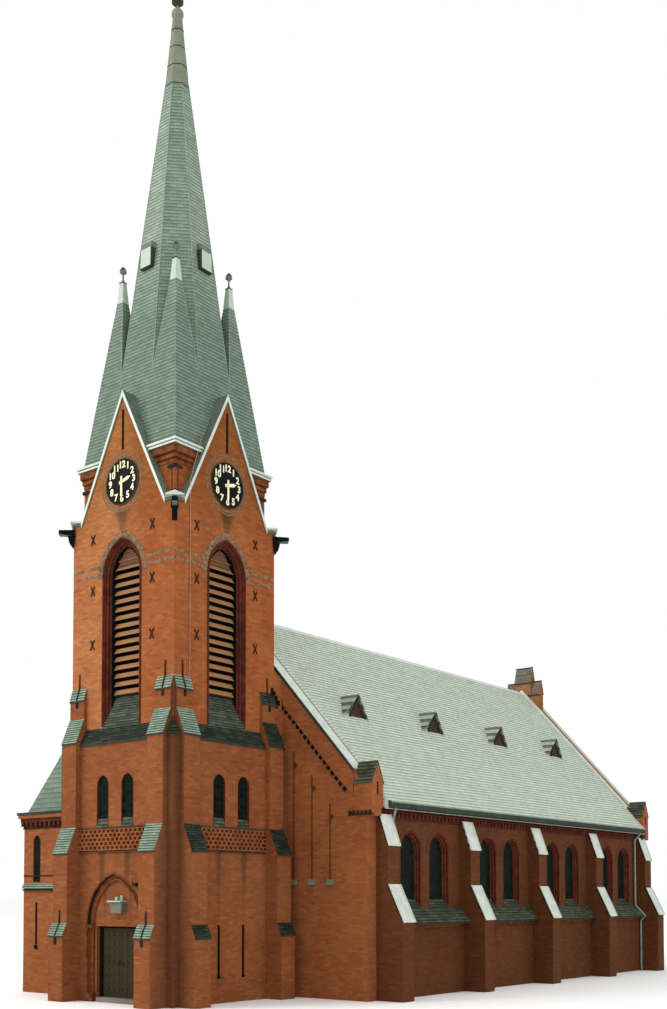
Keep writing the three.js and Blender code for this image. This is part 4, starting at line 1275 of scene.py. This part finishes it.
class CHURCH_OT_spire(bpy.types.Operator):
    """Slate courses, hips and hatches of the spire and its pinnacles"""

    bl_idname = "church.spire"
    bl_label = "Spire"

    def execute(self, context):
        self.slates(EAVE + 0.02, context.scene.church_sizes.spire_course)
        self.hips()
        self.hatches()
        self.tips()
        return {"FINISHED"}

    @staticmethod
    def slates(low, course):
        wide, narrow = octagon_face(low), octagon_face(SPIRE_RING)
        face = courses(-wide, wide, (-wide - 0.004, low), (-narrow - 0.004, SPIRE_RING), course, 0.014, 0.0)
        for side in (-1, 1):
            cut(face, (0, 0, 0), (side, math.tan(math.radians(22.5)), 0))
        slopes = [face] + [copy(face, turn(i / 2)) for i in range(1, 8)]
        settle(slopes[1::2], "spire_corner_slates", "shaded_corner_slate")
        settle(slopes[0::2], "spire_slates", "slate")
        reach = SPIRE_PITCH * (PINNACLE_APEX - low)
        face = courses(-reach, reach, (-reach - 0.004, low), (-0.004, PINNACLE_APEX), course, 0.014, 0.0)
        for side in (-1, 1):
            cut(face, (0, 0, 0), (side, 1, 0))
        shift(face, PINNACLE_OFFSET, -PINNACLE_OFFSET)
        faces = [face, copy(face, ACROSS_CORNER)]
        faces += [copy(face, around(PINNACLE_OFFSET, -PINNACLE_OFFSET, angle)) for angle in (180, 270)]
        on_tower(faces, "pinnacle_slates", "slate", FOUR_SIDES)

    @staticmethod
    def hips():
        rolls = []
        grow = 1 / math.cos(math.radians(22.5))
        for i in range(8):
            angle = math.radians(22.5 + 45 * i)
            ends = []
            for z in (20.4, SPIRE_RING):
                reach = (octagon_face(z) + 0.012) * grow
                ends.append((reach * math.cos(angle), reach * math.sin(angle), z))
            rolls.append(rod(*ends, 0.016, 6))
        settle(rolls, "spire_hips", "lead", 40)
        edges = []
        meet = 20.574
        for a, b, low, radius in ((1, 1, meet, 0.018), (-1, -1, meet, 0.018), (1, -1, EAVE + 0.03, 0.010)):
            reach = SPIRE_PITCH * (PINNACLE_APEX - low) + 0.006
            start = (PINNACLE_OFFSET + a * reach, -PINNACLE_OFFSET + b * reach, low)
            edges.append(rod(start, (PINNACLE_OFFSET, -PINNACLE_OFFSET, PINNACLE_APEX), radius, 6))
        valley = rod((1.055, -1.065, 22.93), (0.75, -1.82, meet), 0.022, 6)
        edges += [valley, copy(valley, ACROSS_CORNER)]
        on_tower(edges, "pinnacle_hips", "lead", FOUR_SIDES, 40)

    @staticmethod
    def hatches():
        low, high, half = 24.48, 25.10, 0.235
        back_low, back_high = 0.05 - octagon_face(low), 0.05 - octagon_face(high)
        lid = prism([(-1.456, low), (-1.442, high), (-1.425, high), (-1.44, low)], "X", -half, half)
        on_tower([lid], "spire_hatch_lids", "hatch", FOUR_SIDES)
        # The hatch's sides and the strip under it are dark: painted shade beside and under each lid.
        foot, head = low - 0.03, high + 0.015
        cheek = [(-1.452, foot), (-1.438, head), (back_high, head), (back_low, foot)]
        cheeks = both_sides(prism(cheek, "X", half, half + 0.03))
        cheeks.append(block((-half, half), (-1.45, back_low), (foot, low)))
        on_tower(cheeks, "spire_hatch_cheeks", "dark_lead", FOUR_SIDES)

    @staticmethod
    def tips():
        x, y = PINNACLE_OFFSET, -PINNACLE_OFFSET
        cap = lathe([(0.0, 23.64), (0.20, 23.64), (0.12, 24.38), (0.0, 24.38)], x, y, 4)
        cap.data.transform(around(x, y, 45))
        on_tower([cap], "pinnacle_tips", "hatch", FOUR_SIDES)
        finial = [
            block((x - 0.10, x + 0.10), (y - 0.10, y + 0.10), (24.37, 24.41), 0.01),
            rod((x, y, 24.38), (x, y, 24.82), 0.028, 8),
            lathe([(0.0, 24.74), (0.125, 24.86), (0.0, 24.98)], x, y, 4),
        ]
        on_tower(finial, "pinnacle_finials", "dark_lead", FOUR_SIDES)
        sleeve = [
            (0.0, 31.36), (0.44, 31.36), (0.385, 31.9), (0.25, 33.15),
            (0.168, 34.0), (0.12, 34.06), (0.0, 34.06),
        ]
        settle([turned(lathe(sleeve), 0.25)], "spire_tip_sheets", "tip_sheet")
        rings = []
        for z, half in ((31.33, 0.452), (32.05, 0.374), (32.75, 0.296), (33.4, 0.236)):
            ring = [(half - 0.04, z), (half, z), (half - 0.004, z + 0.04), (half - 0.04, z + 0.04)]
            rings.append(lathe(ring))
        knob = [(0.0, 34.38), (0.09, 34.38), (0.21, 34.47), (0.22, 34.53), (0.09, 34.56), (0.0, 34.56)]
        rings.append(lathe(knob))
        settle([turned(join(rings), 0.25)], "spire_tip_seams", "dark_lead")


def roof_at(x):
    return RIDGE - ROOF_PITCH * abs(x)


class CHURCH_OT_nave_roof(bpy.types.Operator):
    """Slates, ridge, gutters, vents and pipes of the nave"""

    bl_idname = "church.nave_roof"
    bl_label = "Nave roof"

    def execute(self, context):
        self.slopes(context.scene.church_sizes.nave_course)
        self.gutters((NAVE_START + 0.18, NAVE_END - 0.18))
        self.vents()
        self.pipes()
        return {"FINISHED"}

    @staticmethod
    def slopes(course):
        start, end = NAVE_START + 0.1, NAVE_END - 0.1
        eave, verge = GUTTER + 0.03, 0.138
        for name, x0, x1, foot, head in (
            ("nave_slates", start, end, (-eave, roof_at(eave) + 0.004), (-0.03, RIDGE - 0.025)),
            ("nave_verge_slates", WEST + 0.47, NAVE_START + 0.12,
             (-5.46, roof_at(5.46) + verge), (-1.2, roof_at(1.2) + verge)),
        ):
            slope = courses(x0, x1, foot, head, course, 0.018, 0.0)
            on_nave([slope], name, "nave_slate", quarter=1)
        low, high = RIDGE - 0.13, RIDGE + 0.03
        section = [(-0.13, low), (-0.03, high), (0.03, high), (0.13, low), (0, RIDGE - 0.01)]
        settle([prism(section, "Y", start - 0.1, end + 0.1)], "nave_ridge", "zinc")

    @staticmethod
    def gutters(along):
        bowl = [
            (0.02, 6.56), (-0.05, 6.50), (-0.03, 6.38), (0.04, 6.30),
            (0.115, 6.34), (0.13, 6.43), (0.125, 6.535), (0.10, 6.54),
        ]
        gutter = prism([(GUTTER + out, z) for out, z in bowl], "Y", *along)
        on_nave([gutter], "nave_gutters", "dark_lead", 40)
        rim = block((GUTTER + 0.10, GUTTER + 0.145), along, (6.49, 6.55), 0.01)
        on_nave([rim], "nave_gutter_rims", "lead")

    @staticmethod
    def vents():
        front = 3.35
        sill, edge = roof_at(front) - 0.06, front + 0.09
        boards, covers = [], []
        for i in range(4):
            y = 5.90 + 5.14 * i
            # A dark triangle in each opening: painted shadow inside the vent.
            shadow = [(y - 0.44, sill + 0.02), (y + 0.44, sill + 0.02), (y, sill + 0.66)]
            boards.append(prism(shadow, "X", front - 0.01, front + 0.014))
            for side in (-1, 1):
                feet = (y + side * 0.56, sill - 0.02), (y + side * 0.46, sill - 0.02)
                outline = [*feet, (y, sill + 0.60), (y, sill + 0.74)]
                boards.append(prism(outline, "X", front - 0.01, front + 0.05))
            near = courses(2.1, edge, (y - 1.0, sill - 0.06), (y + 0.02, sill + 0.90), 0.46, 0.05, 0.04)
            far = courses(2.1, edge, (-y - 0.62, sill - 0.08), (-y, sill + 0.90), 0.46, 0.05, 0.04)
            far.data.transform(MIRROR_Y)
            covers += [near, far]
        on_nave(boards, "vent_boards", "dark_wood")
        hoods = join(covers)
        cut(hoods, (front, 0, roof_at(front) - 0.1), (-ROOF_PITCH, 0, -1))
        on_nave([hoods], "vent_hoods", "vent_slate")

    @staticmethod
    def pipes():
        """Each pipe has an upper line from the gutter to the ledge and a lower one to the ground."""
        x, ledge, foot = GUTTER + 0.05, NAVE + 0.50, NAVE + 0.27
        pipes = []
        for y, back, wall, high, on in (
            (4.1, 0.12, NAVE + 0.16, 5.9, 0.0),
            (23.82, 0.0, NAVE + 0.10, 6.0, 0.2),
        ):
            drop = (x, y - back, 6.40), (x, y - back, 6.24), (wall, y, high), (wall, y, 3.0)
            lower = (ledge, y + on, 2.52), (foot, y + on, 2.3), (foot, y + on, 0.05)
            for line in ((*drop, (ledge, y + on, 2.5)), lower):
                pipes += [rod(start, end, 0.045) for start, end in zip(line, line[1:])]
        on_nave(pipes, "rain_pipes", "lead", 40)


class CHURCH_OT_nave_walls(bpy.types.Operator):
    """Window mouldings, dentils, ledges and caps of the nave's sides"""

    bl_idname = "church.nave_walls"
    bl_label = "Nave walls"

    def execute(self, context):
        self.windows()
        self.cornice(context.scene.church_sizes.dentil, (NAVE_START + 0.02, NAVE_END - 0.02))
        self.buttresses()
        return {"FINISHED"}

    @staticmethod
    def windows():
        outer = [
            (0.004, 0.0), (-0.02, 0.006), (-0.05, 0.0), (-0.06, -0.04), (-0.04, -0.07), (-0.09, -0.075),
            (-0.12, -0.10), (-0.11, -0.14), (-0.155, -0.16), (0.004, -0.16),
        ]
        hood = [(0.02, -0.01), (0.02, 0.014), (0.15, 0.014), (0.15, -0.01)]
        mould = arch(outer, WINDOW, -NAVE)
        ring = shift(part_voussoirs(arch(hood, WINDOW, steps=11, head_only=True)), y=-NAVE)
        foot, head = (-NAVE - 0.02, LEDGE_TOP + 0.02), (-NAVE + 0.22, LEDGE_TOP + 0.3)
        sill = courses(-0.60, 0.60, foot, head, 0.14, 0.012, 0.0)
        pane = prism(pointed(0.497, LEDGE_TOP + 0.1, 4.94, 0.555), "Y", -NAVE + 0.21, -NAVE + 0.23)
        for piece, name, finish, slot, smooth in (
            (mould, "nave_window_mouldings", "red_brick", "brick", 40),
            (ring, "nave_window_hoods", "shaded_side_brick", "brick", 0),
            (pane, "nave_window_panes", "glass", "window_glass", 0),
            (sill, "nave_window_sills", "sill_slate", "slate", 0),
        ):
            copies = []
            for bay in range(4):
                middle = FIRST_BUTTRESS + BUTTRESS / 2 + BAY * (bay + 0.5)
                for side in (-1, 1):
                    copies.append(copy(piece, Matrix.Translation((middle + side * WINDOW_X, 0, 0))))
            bpy.data.objects.remove(piece)
            on_nave(copies, name, finish, smooth, 1)

    @staticmethod
    def cornice(pitch, along):
        length = NAVE_END - NAVE_START
        count = int((length - 0.4) / pitch)
        start = NAVE_START + (length - count * pitch) / 2
        bead = [(0.04, 6.19), (0.13, 6.19), (0.15, 6.22), (0.13, 6.25), (0.04, 6.25)]
        lower = [(-0.01, 5.98), (0.03, 5.98), (0.055, 6.01), (0.05, 6.05), (-0.01, 6.05)]
        edge = [(0.18, 2.45), (0.215, 2.42), (0.215, 2.36), (0.18, 2.33)]
        tooth = block((NAVE + 0.04, NAVE + 0.12), (start, start + pitch * 0.5), (6.05, 6.17), 0.006)
        rows = [array(tooth, count, (0, pitch, 0))]
        for section in (bead, lower):
            rows.append(prism([(NAVE + out, z) for out, z in section], "Y", *along))
        on_nave(rows, "nave_cornice", "red_brick")
        gap = block((NAVE + 0.02, NAVE + 0.062), (NAVE_START + 0.03, NAVE_END - 0.03), (6.055, 6.165))
        on_nave([gap], "nave_cornice_shadow", "dark_brick")
        plinth = prism([(NAVE + out, z) for out, z in edge], "Y", *along)
        on_nave([plinth], "nave_plinth_edge", "moulded")

    def buttresses(self):
        slopes = (
            (Vector((-NAVE - 0.47, 5.095)), Vector((-NAVE - 0.115, 6.10))),
            (Vector((-NAVE - 1.05, 2.594)), Vector((-NAVE - 0.47, 3.787))),
        )
        caps, ledges, drips = [], [], []
        for i in range(5):
            y = FIRST_BUTTRESS + BAY * i
            for low, high in slopes:
                caps.append(self.cap(y - 0.03, y + BUTTRESS + 0.03, low, high))
            if i < 4:
                x0, x1 = y + BUTTRESS + 0.005, y + BAY - 0.005
                ledges.append(courses(x0, x1, (-NAVE - 0.46, 2.525), (-NAVE - 0.01, 3.005), 0.13, 0.02, 0.03))
                # A dark plate under the foot of each ledge: painted shadow of its overhang.
                drips.append(block((x0, x1), (-NAVE - 0.46, -NAVE - 0.19), (2.44, 2.485)))
        on_nave(caps, "nave_buttress_caps", "zinc", quarter=1)
        on_nave(ledges, "nave_ledges", "sill_slate", quarter=1)
        on_nave(drips, "nave_ledge_shadows", "dark_lead", quarter=1)

    @staticmethod
    def cap(x0, x1, low, high):
        """A sheet-metal cap with turned edges on a slope that faces -Y."""
        up = (high - low).normalized()
        out = Vector((-up.y, up.x))
        low = low - up * 0.05
        sheets = []
        for start, end, thick in ((x0, x1, 0.03), (x0, x0 + 0.03, 0.055), (x1 - 0.03, x1, 0.055)):
            points = (low, low + out * thick, high + out * thick, high)
            sheets.append(prism([tuple(point) for point in points], "X", start, end))
        return join(sheets)


class CHURCH_OT_nave_gables(bpy.types.Operator):
    """Friezes, blind strips and caps of the nave's end gables"""

    bl_idname = "church.nave_gables"
    bl_label = "Nave gables"

    def execute(self, context):
        self.frieze(context.scene.church_sizes.dentil)
        self.strips()
        self.kneelers()
        self.copings()
        self.ornament()
        self.turret()
        return {"FINISHED"}

    @staticmethod
    def frieze(pitch):
        face, foot, head = WEST, 5.08, 1.9
        slope = math.atan(ROOF_PITCH)
        # The dentil frieze is drawn as black blocks: painted shadow in the hollows between the teeth.
        tooth = block((-0.15, 0.0), (face - 0.03, face), (-0.01, 0.13), 0.006)
        array(tooth, int((foot - head) / math.cos(slope) / pitch), (-pitch, 0, 0))
        place = Matrix.Translation((foot, 0, roof_at(foot) - 1.05))
        tooth.data.transform(place @ Matrix.Rotation(slope, 4, "Y"))
        on_nave([tooth], "gable_frieze", "black")
        band = [
            (5.44, roof_at(5.44) - 0.01), (head, roof_at(head) - 0.01), (head, roof_at(head) - 0.88),
            (5.02, roof_at(5.02) - 0.88), (5.44, roof_at(5.02) - 1.2),
        ]
        on_nave([prism(band, "Y", face - 0.04, face, 0.006)], "gable_bands", "band_brick")

    @staticmethod
    def strips():
        face = WEST
        strips, feet = [], []
        for x, top in ((2.9, 8.33), (3.69, 7.5), (4.46, 6.5)):
            strips.append(block((x - 0.03, x + 0.03), (face - 0.01, face), (3.9, top)))
            strips.append(block((x - 0.03, x + 0.17), (face - 0.02, face), (top - 0.50, top - 0.42), 0.006))
            strips.append(block((x + 0.04, x + 0.10), (face - 0.02, face), (top - 0.56, top - 0.36), 0.006))
            foot = [(face - 0.09, 3.84), (face, 3.98), (face, 3.80), (face - 0.08, 3.78)]
            feet.append(prism(foot, "X", x - 0.13, x + 0.13))
        on_nave(strips, "gable_strips", "shaded_side_brick")
        on_nave(feet, "gable_strip_feet", "cap_slate")

    @staticmethod
    def kneelers():
        caps, corbels = [], []
        for y0, y1 in ((WEST - 0.04, WEST + 0.6), (NAVE_END, NAVE_END + 0.64)):
            middle = (y0 + y1) / 2
            caps.append(courses(5.45, 6.22, (y0 - 0.01, 7.12), (middle, 7.84), 0.14, 0.016, 0.04))
            back = courses(-6.22, -5.45, (-y1 - 0.01, 7.12), (-middle, 7.84), 0.14, 0.016, 0.04)
            caps.append(turned(back, 2))
            corbels.append(block((5.25, 6.215), (y0 - 0.03, y0 + 0.1), (6.05, 6.11), 0.006))
            tooth = block((5.27, 5.36), (y0 - 0.05, y0 + 0.1), (6.10, 6.20), 0.006)
            corbels.append(array(tooth, 6, (0.165, 0, 0)))
            corbels.append(block((6.19, 6.212), (middle - 0.04, middle + 0.04), (6.72, 7.14)))
        on_nave(caps, "kneeler_caps", "sill_slate")
        on_nave(corbels, "kneeler_corbels", "dark_brick")

    @staticmethod
    def copings():
        """Sheet metal along the copings, and flashings where the slates meet them."""
        plates, edges, bands, outer = [], [], [], []
        for made, x0, z_up, y0, y1, thick in (
            (plates, 1.2, 0.134, WEST - 0.06, WEST + 0.48, 0.03),
            (edges, 1.2, 0.0, WEST - 0.068, WEST - 0.03, 0.12),
            (edges, 1.2, 0.134, WEST + 0.44, WEST + 0.485, 0.036),
            (plates, 0.0, 0.134, NAVE_END - 0.135, NAVE_END + 0.67, 0.03),
            (plates, 0.0, 0.0, NAVE_END - 0.17, NAVE_END - 0.12, 0.15),
            (bands, 0.0, 0.16, NAVE_END + 0.04, NAVE_END + 0.33, 0.012),
            (outer, 0.0, 0.16, NAVE_END + 0.36, NAVE_END + 0.68, 0.012),
            (edges, 2.45, 0.0, NAVE_START + 0.10, NAVE_START + 0.14, 0.035),
        ):
            low, high = (5.48, roof_at(5.48) + z_up), (x0, roof_at(x0) + z_up)
            points = [low, (low[0], low[1] + thick), (high[0], high[1] + thick), high]
            made += both_sides(prism(points, "Y", y0, y1))
        settle(plates, "nave_copings", "zinc")
        settle(outer, "east_coping_sheet", "hatch")
        settle(bands, "east_coping_bricks", "turret_brick")
        settle(edges, "nave_coping_edges", "dark_lead")

    @staticmethod
    def ornament():
        """Stepped blocks where the frieze meets the tower."""
        steps = []
        for i in range(3):
            across, top = i * 0.12, 10.52 - i * 0.18
            up = (top - 0.55 + i * 0.1, top)
            steps.append(block((2.02 + across, 2.18 + across), (WEST - 0.06, WEST), up, 0.008))
        for y, low, high in (
            (2.22, 10.22, 10.52), (2.33, 10.03, 10.42), (2.44, 9.83, 10.28), (2.56, 9.95, 10.12),
        ):
            steps.append(block((2.36, 2.42), (y, y + 0.14), (low, high), 0.008))
        on_nave(steps, "gable_ornament", "black")

    @staticmethod
    def turret():
        near, far = NAVE_END + 0.03, NAVE_END + 0.43
        middle = (near + far) / 2
        slates, verges = [], []
        for half, low, high, y0, y1 in (
            (0.44, 14.14, 14.85, near, far),
            (0.92, 13.50, 14.12, near + 0.015, far - 0.015),
        ):
            across = (-half - 0.02, half + 0.02)
            slates.append(courses(*across, (y0 - 0.01, low), (middle, high), 0.13, 0.02, 0.05))
            back = courses(*across, (-y1 - 0.01, low), (-middle, high), 0.13, 0.02, 0.05)
            slates.append(turned(back, 2))
            wide = (-half - 0.03, half + 0.03)
            verges.append(block(wide, (middle - 0.03, middle + 0.03), (high - 0.02, high + 0.04), 0.01))
            verges.append(block(wide, (y0 - 0.07, y0 + 0.02), (low - 0.10, low - 0.06), 0.006))
        settle(slates, "turret_slates", "turret_slate")
        settle(verges, "turret_ridges", "dark_lead")
        face = [
            block((-0.43, 0.43), (near - 0.012, near + 0.01), (13.45, 14.10)),
            block((-0.91, 0.91), (near + 0.003, near + 0.02), (12.75, 13.46)),
        ]
        settle(face, "turret_facing", "turret_brick")


class CHURCH_OT_annex(bpy.types.Operator):
    """Slates, cornice and openings of the stair annex"""

    bl_idname = "church.annex"
    bl_label = "Annex"

    def execute(self, context):
        self.roof(0.2)
        self.cornice(context.scene.church_sizes.dentil, -ANNEX_LEFT, ANNEX_FRONT)
        self.openings(-ANNEX_LEFT, ANNEX_FRONT)
        return {"FINISHED"}

    @staticmethod
    def cornice(pitch, left, front):
        rise, inner = (5.90, 6.05), ANNEX_INNER
        tooth = block((left - 0.07, left + 0.05), (front - 0.10, front), rise, 0.006)
        teeth = [array(tooth, int(2.7 / pitch), (pitch, 0, 0))]
        side = block((left - 0.10, left), (front - 0.05, front + 0.07), rise, 0.006)
        teeth.append(array(side, int(4.3 / pitch), (0, pitch, 0)))
        teeth.append(block((left - 0.096, inner), (front - 0.096, front + 0.01), (6.052, 6.178)))
        teeth.append(block((left - 0.096, left + 0.01), (front - 0.09, WEST - 0.1), (6.052, 6.178)))
        settle(teeth, "annex_dentils", "red_brick")
        shadow = [
            block((left - 0.02, inner), (front - 0.02, front + 0.01), (5.86, 6.05)),
            block((left - 0.02, left + 0.01), (front, WEST - 0.1), (5.86, 6.05)),
            block((left - 0.03, inner), (front - 0.04, front + 0.01), (5.80, 5.86), 0.006),
        ]
        settle(shadow, "annex_dentil_shadow", "dark_brick")
        ledge = courses(left, inner, (front - 0.09, 3.70), (front, 3.86), 0.09, 0.014, 0.02)
        under = block((left, inner), (front - 0.07, front), (3.60, 3.66), 0.006)
        settle([ledge], "annex_ledge", "cap_slate")
        string = block((left, inner), (front - 0.02, front), (4.11, 4.15), 0.004)
        settle([under, string], "annex_strings", "dark_brick")

    @staticmethod
    def openings(left, front):
        pane = prism(pointed(0.197, 3.92, 5.34, 0.236), "Y", front + 0.04, front + 0.06)
        glass = [copy(pane, Matrix.Translation((-5.352, 0, 0)))]
        turned(pane, 3)
        for y in (-0.3, 1.5):
            glass.append(copy(pane, Matrix.Translation((left - front, y, 0))))
        bpy.data.objects.remove(pane)
        settle(glass, "annex_glass", "glass")
        foot = [(front - 0.05, 1.62), (front + 0.06, 1.76), (front + 0.06, 1.56), (front, 1.52)]
        # Black slit and foot in the annex wall: painted shade in the opening.
        slit = [
            block((-5.41, -5.294), (front + 0.012, front + 0.12), (1.70, 3.18)),
            prism(foot, "X", -5.43, -5.27),
        ]
        settle(slit, "annex_slit", "black")

    @staticmethod
    def roof(course):
        x0, x1 = -ANNEX_LEFT + 0.09, -BASE - 0.02
        y0, y1 = ANNEX_FRONT + 0.09, WEST - 0.05
        wide, deep = (x1 - x0) / 2, (y1 - y0) / 2
        z = ANNEX_TOP + 0.01
        faces = []
        for across, run, quarter in ((wide, deep, 0), (deep, wide, -1), (wide, deep, 2)):
            foot, head = (-run - 0.004, z), (-run + wide, z + wide * 2.55)
            face = courses(-across, across, foot, head, course, 0.014, 0.03)
            for side in (-1, 1):
                cut(face, (side * across, -run, 0), (side, 1, 0))
            face.data.transform(Matrix.Translation(((x0 + x1) / 2, (y0 + y1) / 2, 0)) @ turn(quarter))
            faces.append(face)
        roof = join(faces)
        cut(roof, (-BELFRY - 0.01, 0, 0), (1, 0, 0))
        settle([roof], "annex_slates", "annex_slate")
        x, y = -ANNEX_LEFT - 0.20, ANNEX_FRONT - 0.20
        eave = [
            block((x, x1 + 0.02), (y, y0 + 0.03), (6.30, 6.395), 0.01),
            block((x, x0 + 0.03), (y + 0.01, y1), (6.30, 6.395), 0.01),
        ]
        settle(eave, "annex_gutter", "dark_lead")


class CHURCH_OT_east_lights(bpy.types.Operator):
    """Mouldings of the three lancets in the east gable"""

    bl_idname = "church.east_lights"
    bl_label = "East lancets"

    def execute(self, context):
        section = [
            (0.004, 0.0), (-0.03, 0.01), (-0.07, 0.0), (-0.08, -0.06),
            (-0.12, -0.09), (-0.12, -0.14), (0.004, -0.14),
        ]
        pieces = []
        for x, half, spring, rise in ((0, 0.48, 6.9, 0.64), (-1.9, 0.40, 5.8, 0.54), (1.9, 0.40, 5.8, 0.54)):
            pieces.append(shift(arch(section, (half, 3.5, spring, rise)), x))
        mould = shift(join(pieces), y=-(NAVE_END + 0.6))
        settle([turned(mould, 2)], "east_mouldings", "moulded", 40)
        return {"FINISHED"}


class CHURCH_OT_stage(bpy.types.Operator):
    """Pale floor, soft light and the camera"""

    bl_idname = "church.stage"
    bl_label = "Stage"

    def execute(self, context):
        deselect()
        bpy.ops.mesh.primitive_plane_add(size=3000, location=(0, 0, -0.004))
        floor = bpy.context.object
        floor.name = "stage_floor"
        f = Finish("pale floor", 0.9)
        f.shader.inputs["Base Color"].default_value = shade((0.96, 0.96, 0.955))
        floor.data.materials.append(f.material)
        world = bpy.data.worlds.new("pale sky")
        world.use_nodes = True
        background = world.node_tree.nodes["Background"]
        background.inputs["Color"].default_value = shade(WHITE)
        background.inputs["Strength"].default_value = 1.0
        context.scene.world = world
        self.light("key light", (-38, -62, 58), 34000, (1.0, 0.96, 0.90))
        self.light("fill light", (62, -30, 40), 9000, (0.95, 0.98, 1.0))
        context.scene.view_settings.view_transform = "Standard"
        self.camera(context)
        return {"FINISHED"}

    @staticmethod
    def light(name, place, power, colour):
        deselect()
        bpy.ops.object.light_add(type="AREA", location=place)
        lamp = bpy.context.object
        lamp.name = name
        lamp.data.energy = power
        lamp.data.size = 40
        lamp.data.color = colour
        aim = Vector((0, -4, 12)) - Vector(place)
        lamp.rotation_euler = aim.to_track_quat("-Z", "Y").to_euler()

    @staticmethod
    def camera(context):
        """The eye of the photograph, from its fit in pixels."""
        picture = 667
        focal = 1182.1
        sensor = 36
        deselect()
        bpy.ops.object.camera_add(
            location=(28.458, AXIS.y - 28.247, 3.404),
            rotation=(math.radians(90 + 2.51), 0, math.radians(38.80)),
        )
        camera = bpy.context.object
        camera.data.sensor_fit = "HORIZONTAL"
        camera.data.sensor_width = sensor
        camera.data.lens = focal / picture * sensor
        camera.data.shift_x = 0.0409
        camera.data.shift_y = 0.5097
        camera.data.clip_end = 2000
        context.scene.camera = camera


OPERATORS = (
    CHURCH_OT_stage,
    CHURCH_OT_finishes,
    CHURCH_OT_belfry_openings,
    CHURCH_OT_clock_faces,
    CHURCH_OT_wall_anchors,
    CHURCH_OT_tower_buttresses,
    CHURCH_OT_set_off,
    CHURCH_OT_lower_stage,
    CHURCH_OT_portal,
    CHURCH_OT_doors,
    CHURCH_OT_gable_work,
    CHURCH_OT_spire,
    CHURCH_OT_nave_roof,
    CHURCH_OT_nave_walls,
    CHURCH_OT_nave_gables,
    CHURCH_OT_annex,
    CHURCH_OT_east_lights,
)


class CHURCH_PT_panel(bpy.types.Panel):
    """Lists the church's sizes, colours and pieces"""

    bl_label = "Church"
    bl_idname = "CHURCH_PT_panel"
    bl_space_type = "VIEW_3D"
    bl_region_type = "UI"
    bl_category = "Church"

    def draw(self, context):
        for group in (context.scene.church_sizes, context.scene.church_colours):
            box = self.layout.box()
            for key in group.__annotations__:
                box.prop(group, key)
        for operator in OPERATORS:
            self.layout.operator(operator.bl_idname)


CLASSES = (ChurchColours, ChurchSizes, *OPERATORS, CHURCH_PT_panel)


def register():
    for kind in CLASSES:
        bpy.utils.register_class(kind)
    bpy.types.Scene.church_colours = PointerProperty(type=ChurchColours)
    bpy.types.Scene.church_sizes = PointerProperty(type=ChurchSizes)


def unregister():
    del bpy.types.Scene.church_sizes
    del bpy.types.Scene.church_colours
    for kind in reversed(CLASSES):
        bpy.utils.unregister_class(kind)


def main():
    register()
    for operator in OPERATORS:
        group, name = operator.bl_idname.split(".")
        getattr(getattr(bpy.ops, group), name)()


if __name__ == "__main__":
    main()
